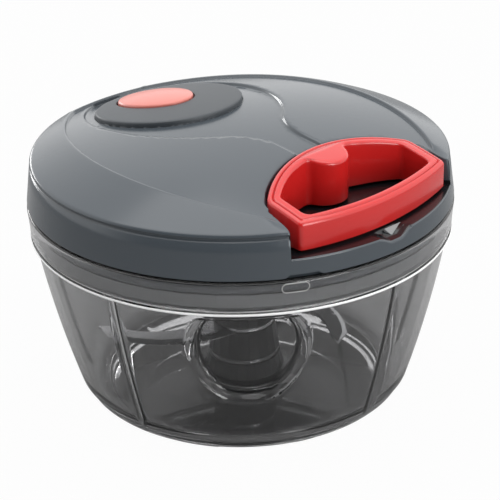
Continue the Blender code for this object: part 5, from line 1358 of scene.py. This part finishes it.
# %% Build the springs
def spiral_tree(name, strip):
    tree = Tree(name, turns="Float", inner="Float", outer="Float", rise="Float", wide="Float", high="Float")
    size = tree.given
    values = {"Resolution": 40, "Rotations": size["turns"], "Start Radius": size["inner"]}
    values.update({"End Radius": size["outer"], "Height": size["rise"]})
    line = tree.node("GeometryNodeCurveSpiral", values)
    if strip:
        line = tree.node("GeometryNodeSetCurveNormal", {0: line}, mode="Z_UP")
        section = tree.node("GeometryNodeCurvePrimitiveQuadrilateral", {0: size["high"], 1: size["wide"]})
    else:
        section = tree.node("GeometryNodeCurvePrimitiveCircle", {"Resolution": 12, "Radius": size["wide"]})
    swept = tree.node("GeometryNodeCurveToMesh", {0: line, 1: section, "Fill Caps": True})
    spots = tree.node("GeometryNodeInstanceOnPoints", {"Points": size["Geometry"], "Instance": swept})
    return tree.end(spots)


def spring(name, strip, spot, body, replaced, turns, **sizes):
    """One spring at a spot. The sizes are in millimetres."""
    inputs = {key: value * MM for key, value in sizes.items()}
    inputs.update(turns=turns, paint=spring_steel)
    grown(name, spiral_tree(name + "_tree", strip), [spot], [], body, (replaced,), "spring_steel", **inputs)


squeezed = ("lid", "button", (-0.0373, 0.0, 0.0666), (-0.0373, 0.0, 0.0764))
coil = {"inner": 3.4, "outer": 3.4, "rise": 10.2, "wide": 0.35, "high": 0.0}
spring("button_coil", False, (-37.3, 0.0, 66.4), squeezed, "button_spring", 5.0, **coil)
flat = {"inner": 6.55, "outer": 23.55, "rise": 0.0, "wide": 0.5, "high": 6.0}
spring("rewind_spring", True, (0.0, 0.0, 67.1), "lid", "return_spring", 5.0, **flat)

# %% [markdown]
# ## The form of a screw
# Seven equal screws hold the spring case and the cover. One form is worked out as a turned skin, with a
# cross recess in its head and a thread whose radius depends on both height and angle. Rings run from
# the middle of the head over its rim and down the shank to the point.

# %% Work out the screw
SCREW_HEAD = 2.35
SCREW_SHANK = 1.0
THREAD_PITCH = 1.1
THREAD_DEPTH = 0.28


def screw_rings():
    angle = np.linspace(0.0, 2.0 * math.pi, 64, endpoint=False)
    rings = []
    for radius in (*np.arange(0.06, 1.56, 0.1), 1.8, 2.1, SCREW_HEAD):
        x, y = np.abs(radius * np.cos(angle)), np.abs(radius * np.sin(angle))
        slot = 1.0 - smooth(0.26, 0.38, np.minimum(x, y))
        cross = 0.8 * slot * (1.0 - smooth(1.1, 1.3, np.maximum(x, y)))
        rings.append(round_ring(radius, 1.3 - 0.4 * (radius / SCREW_HEAD) ** 4 - cross, angle))
    for radius, z in ((2.46, 0.75), (2.5, 0.5), (2.5, 0.08), (2.42, 0.0), (1.36, 0.0)):
        rings.append(round_ring(radius, z, angle))
    for z in np.arange(-0.1, -6.6, -0.13):
        turned_by = (z / THREAD_PITCH - angle / (2.0 * math.pi)) % 1.0
        radius = SCREW_SHANK + THREAD_DEPTH * np.clip(1.4 - 2.8 * np.abs(turned_by - 0.5), 0.0, 1.0)
        rings.append(round_ring(radius * (1.0 - 0.35 * smooth(-5.2, -6.6, z)), z, angle))
    return [*rings, round_ring(0.1, -7.1, angle)]


screw_mesh = closed_mesh("screw_form", *joined_rings(screw_rings(), capped=True))
screw_form = bpy.data.objects.new("screw_form", screw_mesh)
scene.collection.objects.link(screw_form)
print("one screw:", len(screw_mesh.polygons), "faces")

# %% [markdown]
# ## Screws in their holes
# The tree puts a copy of the form at each hole, turned by a random angle with a fixed seed, as driven
# screws are. The cover's screws come from below, so a second input turns them over.


# %% Place the screws
def screw_tree():
    tree = Tree("screws", form="Object", flip="Float", seed="Int")
    form = tree.node("GeometryNodeObjectInfo", {"Object": tree.given["form"]}, out="Geometry")
    chance = {2: 0.0, 3: 2.0 * math.pi, "Seed": tree.given["seed"]}
    spin = tree.node("FunctionNodeRandomValue", chance, out=1, data_type="FLOAT")
    way = tree.node("ShaderNodeCombineXYZ", {0: tree.given["flip"], 2: spin})
    values = {"Points": tree.given["Geometry"], "Instance": form, "Rotation": way}
    return tree.end(tree.node("GeometryNodeInstanceOnPoints", values))


screws = screw_tree()
upper = [(0.0, 28.6, 64.5), (-24.77, -14.3, 64.5), (24.77, -14.3, 64.5)]
lower = [(17.1, 46.98, 55.3), (-38.3, 32.14, 55.3), (-38.3, -32.14, 55.3), (17.1, -46.98, 55.3)]
for name, spots, flip in (("case_screw", upper, 0.0), ("cover_screw", lower, math.pi)):
    old = [f"{name}_{i}" for i in range(len(spots))]
    inputs = {"form": screw_form, "flip": flip, "seed": 4, "paint": steel}
    grown(name + "_set", screws, spots, [], "lid", old, "stainless", **inputs)
bpy.data.objects.remove(screw_form)

# %% [markdown]
# ## The floor
# The floor is plain and pale. It is white where the camera looks at it, which gives the photograph's
# white background, and it is a soft grey for the light that it throws back onto the object.


# %% Floor
def flat_white(name, colour, glow):
    paint = Paint(name, Roughness=0.9)
    paint.set(paint.shader, {"Base Color": colour, "Specular IOR Level": 0.0})
    seen = paint.node("LightPath", out="Is Camera Ray")
    paint.over(seen * glow, paint.node("Emission", {}, {"Color": (1.0, 1.0, 1.0), "Strength": 1.0}))
    return paint.material


floor_mesh = bpy.data.meshes.new("floor")
floor_mesh.from_pydata([(-3, -3, 0), (3, -3, 0), (3, 3, 0), (-3, 3, 0)], [], [(0, 1, 2, 3)])
floor_mesh.materials.append(flat_white("pale_floor", (0.32, 0.32, 0.32), 0.97))
floor = bpy.data.objects.new("floor", floor_mesh)
floor.location.z = -0.0002
scene.collection.objects.link(floor)
print("floor:", [round(side, 1) for side in floor.dimensions[:2]], "m")

# %% [markdown]
# ## The world
# A studio lights a product from all sides, with a darker side that gives the plastic its shape. The
# world is at least white where the camera or the clear bowl looks at it. For all other light it is
# bright, and it falls off softly towards the front, so that the skirt and the handle's front are shaded.

# %% Light from all sides
DARK_SIDE = (0.52, -0.82, 0.24)
DARK_EDGES = (0.35, 0.85)
BRIGHTNESS = (1.45, 0.1)


class Sky(Paint):
    """The world's nodes, written in the same way as a material's, with a Background as the shader."""

    def __init__(self, name):
        self.world = bpy.data.worlds.new(name)
        self.world.use_nodes = True
        self.tree = self.world.node_tree
        self.shader = self.tree.nodes["Background"]


sky = Sky("studio")
scene.world = sky.world
seen = sky.node("LightPath", out="Is Camera Ray").larger(sky.node("LightPath", out="Is Transmission Ray"))
way = {0: sky.node("TexCoord", out="Generated"), 1: DARK_SIDE}
towards = sky.node("VectorMath", {"operation": "DOT_PRODUCT"}, way, out="Value")
fall = {"Value": towards, 1: DARK_EDGES[0], 2: DARK_EDGES[1], 3: BRIGHTNESS[0], 4: BRIGHTNESS[1]}
strength = sky.node("MapRange", {"interpolation_type": "SMOOTHSTEP"}, fall)
sky.set(sky.shader, {"Color": (1.0, 1.0, 1.0), "Strength": seen.larger(strength)})
print("world nodes:", len(sky.tree.nodes))

# %% [markdown]
# ## Lamps
# One large soft lamp above gives the even tone of the lid. A low strip behind on the left draws the thin
# light line on the skirt, and a small one in front on the right lifts the handle and the bowl's side.


# %% Lamps
def lamp(name, place, size, watts):
    data = bpy.data.lights.new(name, "AREA")
    data.shape = "RECTANGLE"
    data.size, data.size_y = size
    data.energy = watts
    made = bpy.data.objects.new(name, data)
    made.location = place
    made.rotation_euler = (Vector((0.0, 0.0, 0.05)) - Vector(place)).to_track_quat("-Z", "Y").to_euler()
    scene.collection.objects.link(made)
    print(f"{name}: {watts} W")


lamp("top_soft_light", (0.0, -0.05, 0.85), (1.0, 1.0), 5.0)
lamp("back_left_light", (-0.9, 0.1, 0.155), (0.4, 0.08), 1.2)
lamp("front_right_light", (0.6, -0.06, 0.26), (0.3, 0.3), 1.6)
scene.view_settings.view_transform = "Standard"
